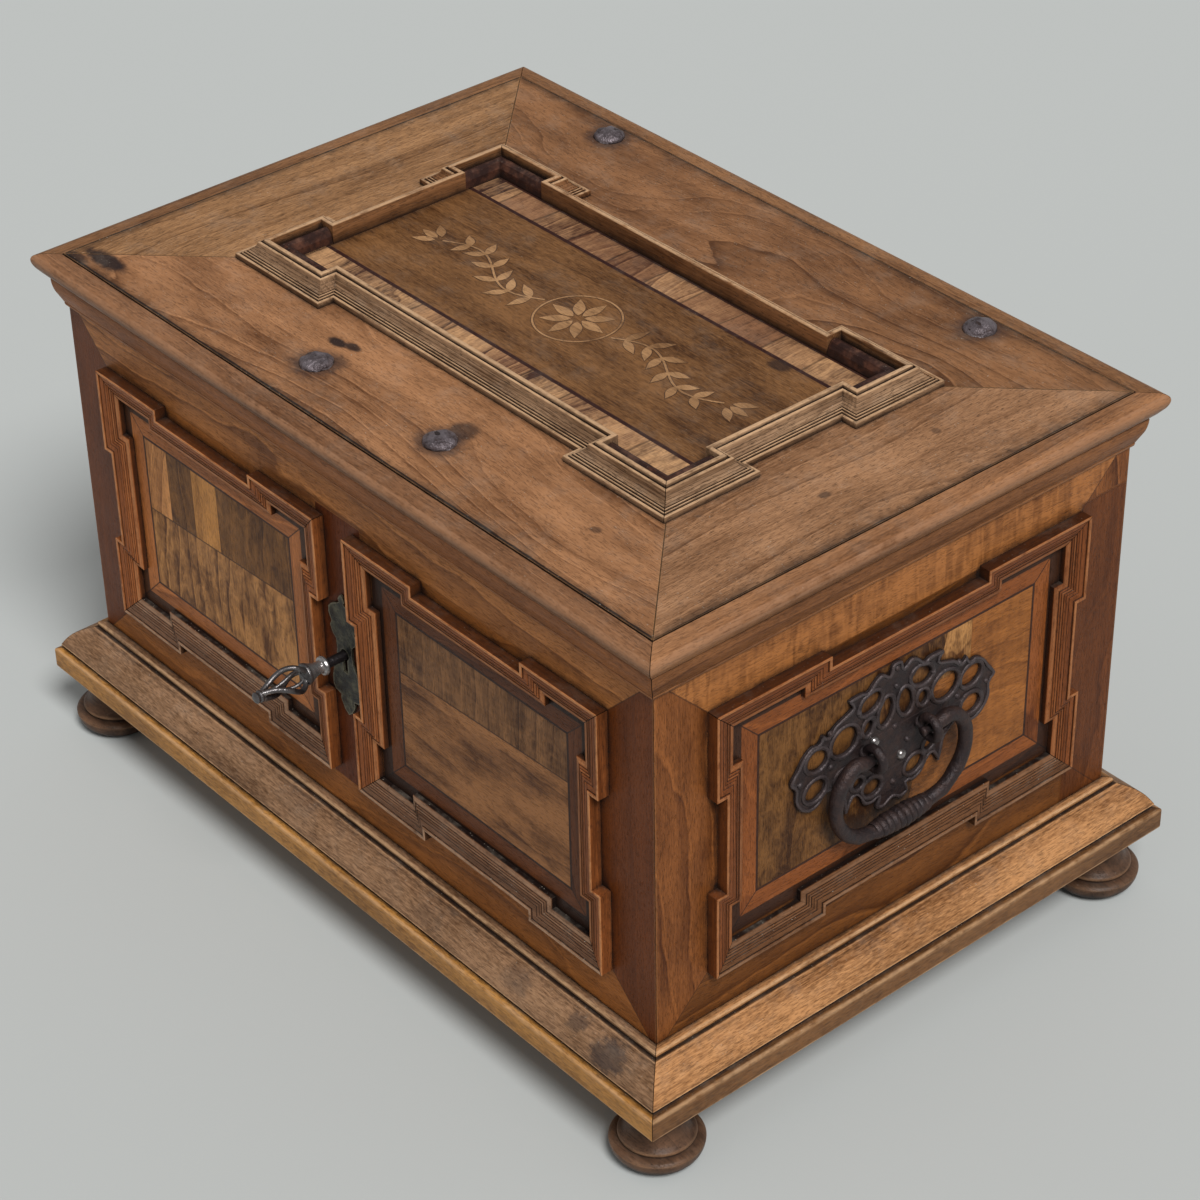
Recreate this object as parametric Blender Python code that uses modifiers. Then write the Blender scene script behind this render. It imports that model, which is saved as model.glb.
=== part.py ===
"""A Baroque marriage box in walnut with iron fittings, as its separate pieces. Metres, +Z up.

The box stands on its four bun feet at z = 0, front towards -Y. Everything is built in the box's own
frame, whose origin is the middle of the carcass at the top of the plinth. One empty then lifts it, so
that the world origin is the middle of the footprint of the whole object, key included.
"""

import math

import bmesh
import bpy
from mathutils import Matrix, Vector

# Clearances
rest_gap = 0.0003
running_gap = 0.0005
overrun = 0.002
weld_distance = 0.000003

# Carcass: four mitred walls and a bottom
carcass_width = 0.480
carcass_depth = 0.318
carcass_height = 0.2214
wall_thickness = 0.015
bottom_thickness = 0.012

# Plinth: a mitred moulded frame that carries the walls in a rebate
plinth_projection = 0.0241
plinth_height = 0.0336
plinth_rebate = 0.0140
plinth_tongue = 0.0260
plinth_bead_shares = ((0.13, 0.0), (0.19, 0.03), (0.19, 0.08), (0.17, 0.11), (0.26, 0.12), (0.33, 0.14))
plinth_cushion_end_shares = (0.86, 0.50)
plinth_cushion_bulge = 0.0011
plinth_cushion_steps = 4
plinth_band_shares = (
    (0.82, 0.53), (0.82, 0.58), (0.86, 0.60), (0.97, 0.61), (1.0, 0.635), (1.0, 0.98), (0.97, 1.0),
)

# Bun feet
foot_height = 0.0360
foot_radius = 0.0245
foot_dowel_radius = 0.0070
foot_dowel_length = 0.0120
foot_ring_shares = (
    (0.66, 0.0), (0.60, 0.20), (0.62, 0.38), (0.70, 0.53), (0.80, 0.59), (0.815, 0.605),
    (0.815, 0.63), (0.76, 0.65), (0.80, 0.665), (0.92, 0.672), (0.98, 0.695),
)
foot_bun_steps = 5
foot_equator_share = 0.72
foot_sole_radius = 0.0150
foot_sides = 24

# Eared mouldings on the walls: high at the outer edge, stepping down inwards
frame_width = 0.0135
frame_rise = 0.0070
frame_shares = (
    (0.0, 0.96), (0.02, 1.0), (0.12, 1.0), (0.16, 0.88), (0.34, 0.81), (0.37, 0.70), (0.56, 0.60),
    (0.60, 0.50), (0.76, 0.44), (0.80, 0.33), (0.95, 0.29), (1.0, 0.20),
)
frame_bottom = 0.0270
frame_top_drop = 0.0359
front_frame_inner = 0.0120
front_frame_inset = 0.0320
side_frame_inset = 0.0330
frame_ear_projection = 0.0065
frame_ear_height = 0.0500
front_ear_length = 0.0560
side_ear_length = 0.0730

# Lid: four mitred boards round a panel, an edge moulding, and an eared moulding, high at its inner edge
lid_gap = 0.0006
lid_thickness = 0.0196
lid_board_width = 0.0775
lid_joint_gap = 0.0007
lid_lip_gap = 0.0005
lid_edge_projection = 0.0130
lid_edge_height = 0.0312
lid_edge_setback = 0.0004
lid_nosing_share = 0.475
lid_nosing_shares = (
    (0.66, 0.0), (0.82, 0.02), (0.94, 0.055), (0.99, 0.095), (1.0, 0.135), (0.97, 0.19), (0.89, 0.26),
    (0.76, 0.34), (0.62, 0.41), (0.52, 0.455), (0.50, 0.475),
)
lid_bed_shares = (
    (0.45, 0.48), (0.45, 0.53), (0.44, 0.62), (0.38, 0.72), (0.27, 0.82), (0.17, 0.90),
    (0.14, 0.98), (0.11, 1.0),
)
lid_moulding_width = 0.0138
lid_moulding_rise = 0.0115
lid_moulding_shares = (
    (0.0, 0.28), (0.03, 0.33), (0.11, 0.35), (0.14, 0.31), (0.24, 0.48), (0.29, 0.45), (0.40, 0.61),
    (0.45, 0.58), (0.66, 0.76), (0.70, 0.80), (0.74, 0.74), (0.79, 0.96), (0.95, 1.0), (1.0, 0.95),
)
lid_moulding_half_x = 0.1730
lid_moulding_half_y = 0.0932
lid_ear_projection = 0.0100
lid_ear_length_x = 0.0740
lid_ear_length_y = 0.0615
lid_bead_rise = 0.0090
lid_bead_root = 0.0030
lid_bead_wall = 0.0010
lid_field_rise = 0.0006
lid_bead_steps = 6

# Nails that come up through the lid
nail_radius = 0.0085
nail_rise = 0.0042
nail_shank_radius = 0.0028
nail_sides = 12
nail_steps = 3

# Hinges: an iron strap under the lid, and a leaf with its pin on the back
hinge_x = 0.1456
hinge_knuckle_radius = 0.0038
hinge_pin_radius = 0.0018
hinge_knuckle_length = 0.0112
hinge_sides = 16
strap_thickness = 0.0024
strap_width = 0.0220
strap_length = 0.0950
strap_point_length = 0.0300
strap_notch_gap = 0.0010
hinge_nail_inset = 0.0127
leaf_thickness = 0.0020
leaf_width = 0.0260
leaf_length = 0.0880
leaf_point_length = 0.0220

# Lock: case behind the front wall, sliding bolt, keeper under the lid, escutcheon and key
key_height = 0.1055
key_reach = 0.0590
key_shank_radius = 0.0027
key_depth = 0.0330
key_bit_reach = 0.0100
key_bit_length = 0.0115
key_bit_thickness = 0.0026
key_bit_setback = 0.0017
key_sides = 12
key_collar_start = 0.0135
key_collar_length = 0.0145
key_collar_radius = 0.0049
key_collar_shares = (
    (0.0, 0.55), (0.05, 0.70), (0.12, 0.94), (0.22, 0.94), (0.28, 0.67), (0.35, 0.67), (0.48, 0.98),
    (0.65, 0.90), (0.72, 0.69), (0.78, 1.0), (0.89, 1.0), (0.95, 0.74), (1.0, 0.41),
)
key_tip_length = 0.0060
key_tip_radius = 0.0032
key_tip_shares = ((0.0, 0.56), (0.25, 0.94), (0.58, 1.0), (0.90, 0.62))
key_bow_radius = 0.0078
key_bow_bars = 4
key_bow_twist = math.radians(130)
key_bow_bar_radius = 0.0012
key_bow_bevel_steps = 1
key_bow_shares = (
    (0.0, 0.38), (0.08, 0.66), (0.20, 0.93), (0.32, 1.0), (0.48, 0.90), (0.66, 0.66), (0.84, 0.40),
    (1.0, 0.22),
)
keyhole_radius = 0.0034
keyhole_slot_width = 0.0038
keyhole_slot_reach = 0.0112
keyhole_steps = 12
escutcheon_height = 0.0760
escutcheon_half_width = 0.0120
escutcheon_thickness = 0.0012
escutcheon_below_key = 0.0385
escutcheon_shares = (
    (0.0, 1.0), (0.10, 0.985), (0.22, 0.955), (0.15, 0.93), (0.35, 0.91), (0.72, 0.88),
    (0.95, 0.84), (0.98, 0.79), (0.80, 0.73), (0.92, 0.69), (0.80, 0.64), (0.55, 0.60),
    (0.52, 0.53), (0.58, 0.46), (0.80, 0.40), (0.88, 0.33), (1.0, 0.25), (0.98, 0.19),
    (0.84, 0.155), (0.45, 0.14), (0.52, 0.11), (0.40, 0.07), (0.25, 0.03), (0.0, 0.0),
)
lock_shift = -0.0048
case_half_width = 0.0760
case_below_key = 0.0135
case_top_drop = 0.0094
case_depth = 0.0220
case_wall = 0.0020
bolt_travel = 0.0120
bolt_thickness = 0.0034
bolt_bar_top_drop = 0.0394
bolt_bar_width = 0.0100
bolt_prong_top_drop = 0.0214
bolt_prong_width = 0.0080
bolt_upright_width = 0.0060
bolt_tip_gap = 0.0015
bolt_web_half = 0.0120
guide_thickness = 0.0040
guide_length = 0.0240
keeper_nail_x = 0.0505
keeper_nail_y = 0.0325
keeper_plate_half_x = 0.0640
keeper_plate_width = 0.0300
keeper_plate_thickness = 0.0022
staple_thickness = 0.0040
staple_below_prong = 0.0050
staple_wall = 0.0025
staple_slot_gap = 0.0012
staple_swing_gap = 0.0030

# Side handles: pierced plate, two eyes, and a bail with a ribbed grip
handle_y = -0.006
handle_lift = 0.00575
plate_thickness = 0.0018
plate_half_length = 0.0705
plate_frame_gap = 0.01575
plate_shift = 0.0025
plate_lift = 0.0005
plate_edge_shares = (
    (0.0, 1.0), (0.05, 0.97), (0.07, 0.86), (0.13, 0.93), (0.20, 0.90), (0.27, 0.79), (0.33, 0.82),
    (0.46, 0.80), (0.42, 0.68), (0.50, 0.62), (0.58, 0.57), (0.65, 0.47), (0.70, 0.54),
    (0.73, 0.44), (0.80, 0.45), (0.88, 0.36), (0.93, 0.24), (1.0, 0.08), (0.95, -0.04),
    (0.95, -0.20), (0.90, -0.36), (0.81, -0.45), (0.72, -0.42), (0.66, -0.30), (0.57, -0.37),
    (0.50, -0.50), (0.46, -0.78), (0.39, -0.60), (0.33, -0.66), (0.28, -0.80), (0.20, -0.84),
    (0.14, -0.81), (0.16, -0.95), (0.08, -1.0), (0.0, -0.93),
)
plate_hole_shares = (
    (0.745, 0.20, 0.068, 0.097), (0.765, -0.19, 0.080, 0.115), (0.480, 0.24, 0.096, 0.149),
    (0.240, 0.61, 0.078, 0.092), (0.092, 0.39, 0.058, 0.113), (0.205, -0.60, 0.071, 0.083),
    (0.470, -0.22, 0.075, 0.073),
)
plate_hole_points = 8
plate_hole_turn = math.radians(13)
plate_nail_radius = 0.0034
plate_nail_rise = 0.0024
plate_nail_shares = ((0.07, -0.36), (-0.20, 0.04))
eye_spacing = 0.0380
eye_standoff = 0.0100
eye_ring_radius = 0.0052
eye_wire_radius = 0.0022
eye_shank_radius = 0.0027
eye_shank_depth = 0.0120
eye_ring_steps = 20
eye_wire_steps = 8
eye_shank_sides = 16
bail_end_radius = 0.0026
bail_arm_radius = 0.0038
bail_grip_radius = 0.0052
bail_rib_depth = 0.0005
bail_half_width = 0.0448
bail_frame_gap = 0.0195
bail_end_overhang = 0.0050
bail_grip_half = 0.0190
bail_ribs = 12
bail_bevel_steps = 2
bail_arm_shares = (
    (0.61, 0.025), (0.70, 0.045), (0.80, 0.01), (0.89, -0.07), (0.97, -0.20), (1.0, -0.37),
    (0.985, -0.54), (0.92, -0.70), (0.81, -0.84), (0.66, -0.95),
)

# Worked out from the sizes above
half_x = carcass_width / 2
half_y = carcass_depth / 2
frame_top = carcass_height - frame_top_drop
front_frame_outer = half_x - front_frame_inset
side_frame_half = half_y - side_frame_inset
frame_field_bottom = frame_bottom + frame_ear_projection + frame_width
frame_field_top = frame_top - frame_ear_projection - frame_width
lid_bottom = carcass_height + lid_gap
lid_top = lid_bottom + lid_thickness
lid_edge_top = lid_top - lid_edge_setback
lid_half_x = half_x + lid_lip_gap - lid_joint_gap
lid_half_y = half_y + lid_lip_gap - lid_joint_gap
panel_half_x = lid_half_x - lid_board_width - rest_gap
panel_half_y = lid_half_y - lid_board_width - rest_gap
front_reach = half_y + key_reach
back_reach = half_y + max(plinth_projection, foot_radius)
box_y = (front_reach - back_reach) / 2
box_z = foot_height + rest_gap + plinth_height
hinge_axis = Vector((0, half_y + rest_gap + hinge_knuckle_radius, carcass_height))
key_axis = Vector((0, -half_y, key_height))
case_front = -half_y + wall_thickness + rest_gap
case_back = case_front + case_depth
staple_front = case_front + case_wall + staple_swing_gap
bolt_front = staple_front + staple_wall + staple_slot_gap
web_bottom = key_height + key_bit_reach + running_gap
case_bottom = key_height - case_below_key
case_top = carcass_height - case_top_drop
bolt_bar_top = carcass_height - bolt_bar_top_drop
bolt_bar_bottom = bolt_bar_top - bolt_bar_width
bolt_prong_top = carcass_height - bolt_prong_top_drop
bolt_prong_bottom = bolt_prong_top - bolt_prong_width
staple_bottom = bolt_prong_bottom - staple_below_prong
escutcheon_bottom = key_height - escutcheon_below_key
handle_height = (frame_field_bottom + frame_field_top) / 2 + handle_lift
plate_half_height = (frame_field_top - frame_field_bottom) / 2 - plate_frame_gap
plate_y = handle_y + plate_shift
plate_height = handle_height + plate_lift
bail_drop = handle_height - frame_field_bottom - bail_frame_gap
eye_axis_x = half_x + eye_standoff


def clear_scene():
    for thing in list(bpy.data.objects):
        bpy.data.objects.remove(thing, do_unlink=True)


def new_collection(name):
    collection = bpy.data.collections.new(name)
    bpy.context.scene.collection.children.link(collection)
    return collection


def new_material(name, color, roughness, metallic=0.0):
    material = bpy.data.materials.new(name)
    material.use_nodes = True
    shader = material.node_tree.nodes["Principled BSDF"]
    shader.inputs["Base Color"].default_value = (*color, 1.0)
    shader.inputs["Roughness"].default_value = roughness
    shader.inputs["Metallic"].default_value = metallic
    material.diffuse_color = (*color, 1.0)
    return material


clear_scene()
parts = new_collection("marriage_box")
cutters = new_collection("cutters")
walnut = new_material("walnut", (0.20, 0.10, 0.05), 0.5)
walnut_lid = new_material("walnut_lid", (0.29, 0.16, 0.08), 0.55)
walnut_moulding = new_material("walnut_moulding", (0.34, 0.18, 0.09), 0.5)
walnut_plinth = new_material("walnut_plinth", (0.30, 0.17, 0.09), 0.55)
walnut_dark = new_material("walnut_dark", (0.08, 0.045, 0.03), 0.45)
softwood = new_material("softwood", (0.42, 0.28, 0.15), 0.7)
iron = new_material("iron", (0.05, 0.042, 0.042), 0.55, 1.0)
steel = new_material("steel", (0.22, 0.21, 0.21), 0.35, 1.0)


def new_empty(name, place, parent=None):
    empty = bpy.data.objects.new(name, None)
    empty.location = place
    empty.parent = parent
    parts.objects.link(empty)
    return empty


box = new_empty("box_frame", (0, box_y, box_z))
lid_pivot = new_empty("lid_pivot", hinge_axis, box)
key_pivot = new_empty("key_pivot", key_axis, box)


def link(thing, parent=box, material=None):
    """Puts an object, built in the box's frame, under its parent and leaves it where it is."""
    parts.objects.link(thing)
    thing.parent = parent
    if parent is not box:
        thing.location = thing.location - parent.location
    if material:
        thing.data.materials.append(material)
    return thing


def object_from(name, mesh_tool, shade=True):
    """A new mesh object from a bmesh, closed and facing out."""
    bmesh.ops.recalc_face_normals(mesh_tool, faces=mesh_tool.faces)
    mesh = bpy.data.meshes.new(name)
    mesh_tool.to_mesh(mesh)
    mesh_tool.free()
    if shade:
        mesh.shade_smooth()
        mesh.set_sharp_from_angle(angle=math.radians(30))
    return bpy.data.objects.new(name, mesh)


def block(name, low, high):
    """A box between two corners."""
    low, high = Vector(low), Vector(high)
    place = Matrix.Translation((low + high) / 2)
    tool = bmesh.new()
    bmesh.ops.create_cube(tool, size=1, matrix=place @ Matrix.Diagonal((*(high - low), 1)))
    return object_from(name, tool, shade=False)


def rod(name, start, end, radius, sides):
    """A cylinder between two points."""
    start, end = Vector(start), Vector(end)
    along = end - start
    turn = along.to_track_quat("Z", "Y").to_matrix().to_4x4()
    tool = bmesh.new()
    bmesh.ops.create_cone(
        tool, cap_ends=True, segments=sides, radius1=radius, radius2=radius, depth=along.length,
        matrix=Matrix.Translation((start + end) / 2) @ turn,
    )
    return object_from(name, tool)


def flat(name, loops, thickness, turn, place):
    """A plate with one outline and any holes, drawn as a 2D curve, as a mesh in the box's frame."""
    curve = bpy.data.curves.new(name, "CURVE")
    curve.dimensions = "2D"
    curve.fill_mode = "BOTH"
    curve.extrude = thickness / 2
    for loop in loops:
        spline = curve.splines.new("POLY")
        spline.points.add(len(loop) - 1)
        spline.use_cyclic_u = True
        for point, (a, b) in zip(spline.points, loop):
            point.co = (a, b, 0, 1)
    drawn = bpy.data.objects.new(name, curve)
    return meshed(drawn, Matrix.Translation(place) @ turn)


def meshed(drawn, matrix=None):
    """A curve made a welded mesh, with a matrix worked into its points; the curve is removed."""
    bpy.context.scene.collection.objects.link(drawn)
    graph = bpy.context.evaluated_depsgraph_get()
    mesh = bpy.data.meshes.new_from_object(drawn.evaluated_get(graph))
    tool = bmesh.new()
    tool.from_mesh(mesh)
    bmesh.ops.remove_doubles(tool, verts=tool.verts, dist=weld_distance)
    if matrix:
        bmesh.ops.transform(tool, matrix=matrix, verts=tool.verts)
    name, curve = drawn.name, drawn.data
    bpy.data.objects.remove(drawn)
    bpy.data.curves.remove(curve)
    bpy.data.meshes.remove(mesh)
    return object_from(name, tool)


def tube(name, points, radii, bevel_steps):
    """A round bar along points, with a radius at each, as a mesh."""
    curve = bpy.data.curves.new(name, "CURVE")
    curve.dimensions = "3D"
    # A depth of 1 leaves the size to the radius of each point.
    curve.bevel_depth = 1
    curve.bevel_resolution = bevel_steps
    curve.use_fill_caps = True
    spline = curve.splines.new("POLY")
    spline.points.add(len(points) - 1)
    for point, place, radius in zip(spline.points, points, radii):
        point.co = (*place, 1)
        point.radius = radius
    return meshed(bpy.data.objects.new(name, curve))


def turned(name, profile, sides, matrix):
    """A turned solid: a profile of (radius, height), top to bottom, spun round Z, then placed."""
    spots = [(radius, 0, height) for radius, height in profile]
    mesh = bpy.data.meshes.new(name)
    mesh.from_pydata(spots, [(i, i + 1) for i in range(len(spots) - 1)], [])
    thing = bpy.data.objects.new(name, mesh)
    screw = thing.modifiers.new("spin", "SCREW")
    screw.steps = sides
    screw.render_steps = sides
    screw.use_merge_vertices = True
    screw.merge_threshold = weld_distance
    screw.use_smooth_shade = True
    thing.matrix_basis = matrix
    return thing


def as_cutter(thing):
    """Takes a shape out of the render, as the tool of a Boolean."""
    cutters.objects.link(thing)
    thing.parent = box
    thing.hide_render = True
    thing.display_type = "WIRE"
    return thing


def cut(thing, tools):
    for tool in tools:
        step = thing.modifiers.new("cut_" + tool.name, "BOOLEAN")
        step.operation = "DIFFERENCE"
        step.solver = "EXACT"
        step.object = tool


def join(thing, others):
    for other in others:
        step = thing.modifiers.new("join_" + other.name, "BOOLEAN")
        step.operation = "UNION"
        step.solver = "EXACT"
        step.object = as_cutter(other)


def rectangle(half_a, half_b, center=(0, 0)):
    a, b = center
    return [
        (a - half_a, b - half_b), (a + half_a, b - half_b),
        (a + half_a, b + half_b), (a - half_a, b + half_b),
    ]


def eared(low, high, ear_a, ear_b, projection):
    """A rectangle with ears at its corners, anticlockwise from its lower left: 5 points for each side."""
    a0, b0 = low
    a1, b1 = high
    return [
        (a0, b0), (a0 + ear_a, b0), (a0 + ear_a, b0 + projection),
        (a1 - ear_a, b0 + projection), (a1 - ear_a, b0),
        (a1, b0), (a1, b0 + ear_b), (a1 - projection, b0 + ear_b),
        (a1 - projection, b1 - ear_b), (a1, b1 - ear_b),
        (a1, b1), (a1 - ear_a, b1), (a1 - ear_a, b1 - projection),
        (a0 + ear_a, b1 - projection), (a0 + ear_a, b1),
        (a0, b1), (a0, b1 - ear_b), (a0 + projection, b1 - ear_b),
        (a0 + projection, b0 + ear_b), (a0, b0 + ear_b),
    ]


def mitred_length(name, outline, side, profile, place):
    """One side of a mitred frame.

    outline is the closed line of the frame's outer edge, anticlockwise, with as many points for each
    of its four sides. profile holds (distance inwards, height). place turns (a, b, height) into the
    box's frame. Each point of the line gets the profile on its mitre plane. The two ends stop half a
    gap short of the next length.
    """
    count = len(outline)
    each = count // 4
    tool = bmesh.new()
    rings = []
    for step in range(each + 1):
        index = (side * each + step) % count
        here = Vector(outline[index])
        before = (here - Vector(outline[index - 1])).normalized()
        after = (Vector(outline[(index + 1) % count]) - here).normalized()
        inward_before = Vector((-before.y, before.x))
        inward_after = Vector((-after.y, after.x))
        mitre = (inward_before + inward_after) / (1 + inward_before.dot(inward_after))
        shift = Vector((0, 0))
        if step == 0:
            shift = after * rest_gap / 2
        if step == each:
            shift = -before * rest_gap / 2
        ring = []
        for inward, height in profile:
            spot = here + mitre * inward + shift
            ring.append(tool.verts.new(place(spot.x, spot.y, height)))
        rings.append(ring)
    points = len(profile)
    for first, second in zip(rings, rings[1:]):
        for i in range(points):
            j = (i + 1) % points
            tool.faces.new((first[i], first[j], second[j], second[i]))
    tool.faces.new(rings[0])
    tool.faces.new(list(reversed(rings[-1])))
    return object_from(name, tool)


def level(a, b, height):
    return (a, b, height)


side_names = ("front", "right", "back", "left")


def scaled(shares, width, height):
    return [(a * width, b * height) for a, b in shares]


def arc(center, radii, start, end, steps):
    """Points on part of an ellipse."""
    spots = []
    for i in range(steps + 1):
        angle = start + (end - start) * i / steps
        spots.append((center[0] + radii[0] * math.cos(angle), center[1] + radii[1] * math.sin(angle)))
    return spots


def foot_places():
    """The feet stand under the corners of the carcass."""
    return {
        "foot_front_left": (-half_x, -half_y),
        "foot_front_right": (half_x, -half_y),
        "foot_back_right": (half_x, half_y),
        "foot_back_left": (-half_x, half_y),
    }


def keyhole(center, extra=0):
    """The outline of a keyhole: a round for the shank and a slot below it for the bit."""
    a, b = center
    half_slot = keyhole_slot_width / 2 + extra
    radius = keyhole_radius + extra
    edge = math.asin(half_slot / radius)
    low = b - keyhole_slot_reach - extra
    loop = arc((a, b), (radius, radius), -math.pi / 2 + edge, math.pi * 3 / 2 - edge, keyhole_steps)
    return loop + [(a - half_slot, low), (a + half_slot, low)]


upright_front = Matrix.Rotation(math.radians(90), 4, "X")
upright_side = Matrix(((0, 0, 1, 0), (1, 0, 0, 0), (0, 1, 0, 0), (0, 0, 0, 1)))


def build_carcass():
    foot_of_wall = -plinth_rebate + rest_gap
    profile = [
        (0, foot_of_wall), (wall_thickness, foot_of_wall),
        (wall_thickness, carcass_height), (0, carcass_height),
    ]
    walls = {}
    for side, name in enumerate(side_names):
        wall = mitred_length(name + "_board", rectangle(half_x, half_y), side, profile, level)
        walls[name] = link(wall, material=walnut)
    inside_x = half_x - wall_thickness - rest_gap
    inside_y = half_y - wall_thickness - rest_gap
    bottom = block(
        "bottom_board", (-inside_x, -inside_y, foot_of_wall),
        (inside_x, inside_y, foot_of_wall + bottom_thickness),
    )
    link(bottom, material=softwood)

    slot = flat(
        "keyhole_cutter", [keyhole((0, key_height))], wall_thickness + overrun * 2,
        upright_front, (0, -half_y + wall_thickness / 2, 0),
    )
    cut(walls["front"], [as_cutter(slot)])

    notches = []
    notch_half = strap_width / 2 + strap_notch_gap
    notch_bottom = lid_bottom - rest_gap * 2 - strap_thickness
    for sign in (-1, 1):
        x = sign * hinge_x
        notch = block(
            f"strap_notch_{sign}",
            (x - notch_half, half_y - wall_thickness - overrun, notch_bottom),
            (x + notch_half, half_y + overrun, carcass_height + overrun),
        )
        notches.append(as_cutter(notch))
    cut(walls["back"], notches)

    for name, sign in (("right", 1), ("left", -1)):
        holes = []
        for end in (-1, 1):
            y = handle_y + end * eye_spacing / 2
            hole = rod(
                f"eye_hole_{name}_{end}", (sign * (half_x + overrun), y, handle_height),
                (sign * (half_x - eye_shank_depth - running_gap), y, handle_height),
                eye_shank_radius + rest_gap, eye_shank_sides,
            )
            holes.append(as_cutter(hole))
        cut(walls[name], holes)


def build_plinth():
    bead = scaled(plinth_bead_shares, plinth_projection, plinth_height)
    start = Vector(bead[-1])
    end = Vector(scaled([plinth_cushion_end_shares], plinth_projection, plinth_height)[0])
    slope = (end - start).normalized()
    cushion = []
    for i in range(1, plinth_cushion_steps + 1):
        share = i / plinth_cushion_steps
        bulge = plinth_cushion_bulge * math.sin(math.pi * share)
        spot = start.lerp(end, share) + Vector((slope.y, -slope.x)) * bulge
        cushion.append((spot.x, spot.y))
    band = scaled(plinth_band_shares, plinth_projection, plinth_height)
    outside = [(rest_gap, 0)] + bead + cushion + band
    profile = [(-out, -down) for out, down in outside]
    profile.append((plinth_tongue, -plinth_height))
    profile.append((plinth_tongue, -plinth_rebate))
    profile.append((-rest_gap, -plinth_rebate))
    holes = []
    hole_top = -plinth_height + foot_dowel_length + running_gap
    for name, (x, y) in foot_places().items():
        hole = rod(
            name + "_hole", (x, y, -plinth_height - overrun), (x, y, hole_top),
            foot_dowel_radius + rest_gap, nail_sides,
        )
        holes.append(as_cutter(hole))
    for side, name in enumerate(side_names):
        length = mitred_length("plinth_" + name, rectangle(half_x, half_y), side, profile, level)
        link(length, material=walnut_plinth)
        cut(length, [holes[side], holes[(side + 1) % 4]])


def build_feet():
    top = -plinth_height - rest_gap
    bun_center = -foot_height * foot_equator_share
    half_bun = foot_height + bun_center
    ring = [(r * foot_radius, -z * foot_height) for r, z in foot_ring_shares]
    bun = arc(
        (foot_sole_radius, bun_center), (foot_radius - foot_sole_radius, half_bun),
        0, -math.pi / 2, foot_bun_steps,
    )
    profile = [(0, foot_dowel_length), (foot_dowel_radius, foot_dowel_length), (foot_dowel_radius, 0)]
    profile += ring + bun + [(0, -foot_height)]
    for name, (x, y) in foot_places().items():
        foot = turned(name, profile, foot_sides, Matrix.Translation((x, y, top)))
        link(foot, material=walnut_dark)


def frame_profile():
    rows = scaled(frame_shares, frame_width, frame_rise)
    return [(0, 0)] + rows + [(frame_width, 0)]


def build_wall_frames():
    top, bottom = frame_top, frame_bottom
    ears = (front_ear_length, frame_ear_height, frame_ear_projection)

    def on_front(a, b, height):
        return (a, -half_y - rest_gap - height, b)

    def on_right(a, b, height):
        return (half_x + rest_gap + height, a, b)

    def on_left(a, b, height):
        return (-half_x - rest_gap - height, a, b)

    left_line = eared((-front_frame_outer, bottom), (-front_frame_inner, top), *ears)
    right_line = eared((front_frame_inner, bottom), (front_frame_outer, top), *ears)
    side_low, side_high = (-side_frame_half, bottom), (side_frame_half, top)
    side_line = eared(side_low, side_high, side_ear_length, *ears[1:])
    frames = (
        ("front_left_frame", left_line, on_front, ("bottom", "right", "top", "left")),
        ("front_right_frame", right_line, on_front, ("bottom", "right", "top", "left")),
        ("right_side_frame", side_line, on_right, ("bottom", "back", "top", "front")),
        ("left_side_frame", side_line, on_left, ("bottom", "back", "top", "front")),
    )
    for frame_name, line, place, sides in frames:
        for side, side_name in enumerate(sides):
            length = mitred_length(f"{frame_name}_{side_name}", line, side, frame_profile(), place)
            link(length, material=walnut_moulding)


def nail(name, x, y, top, bottom):
    """A domed nail head with its shank, turned."""
    head = arc((0, top), (nail_radius, nail_rise), math.pi / 2, 0, nail_steps)
    profile = head + [(nail_shank_radius, top), (nail_shank_radius, bottom), (0, bottom)]
    return turned(name, profile, nail_sides, Matrix.Translation((x, y, 0)))


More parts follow.
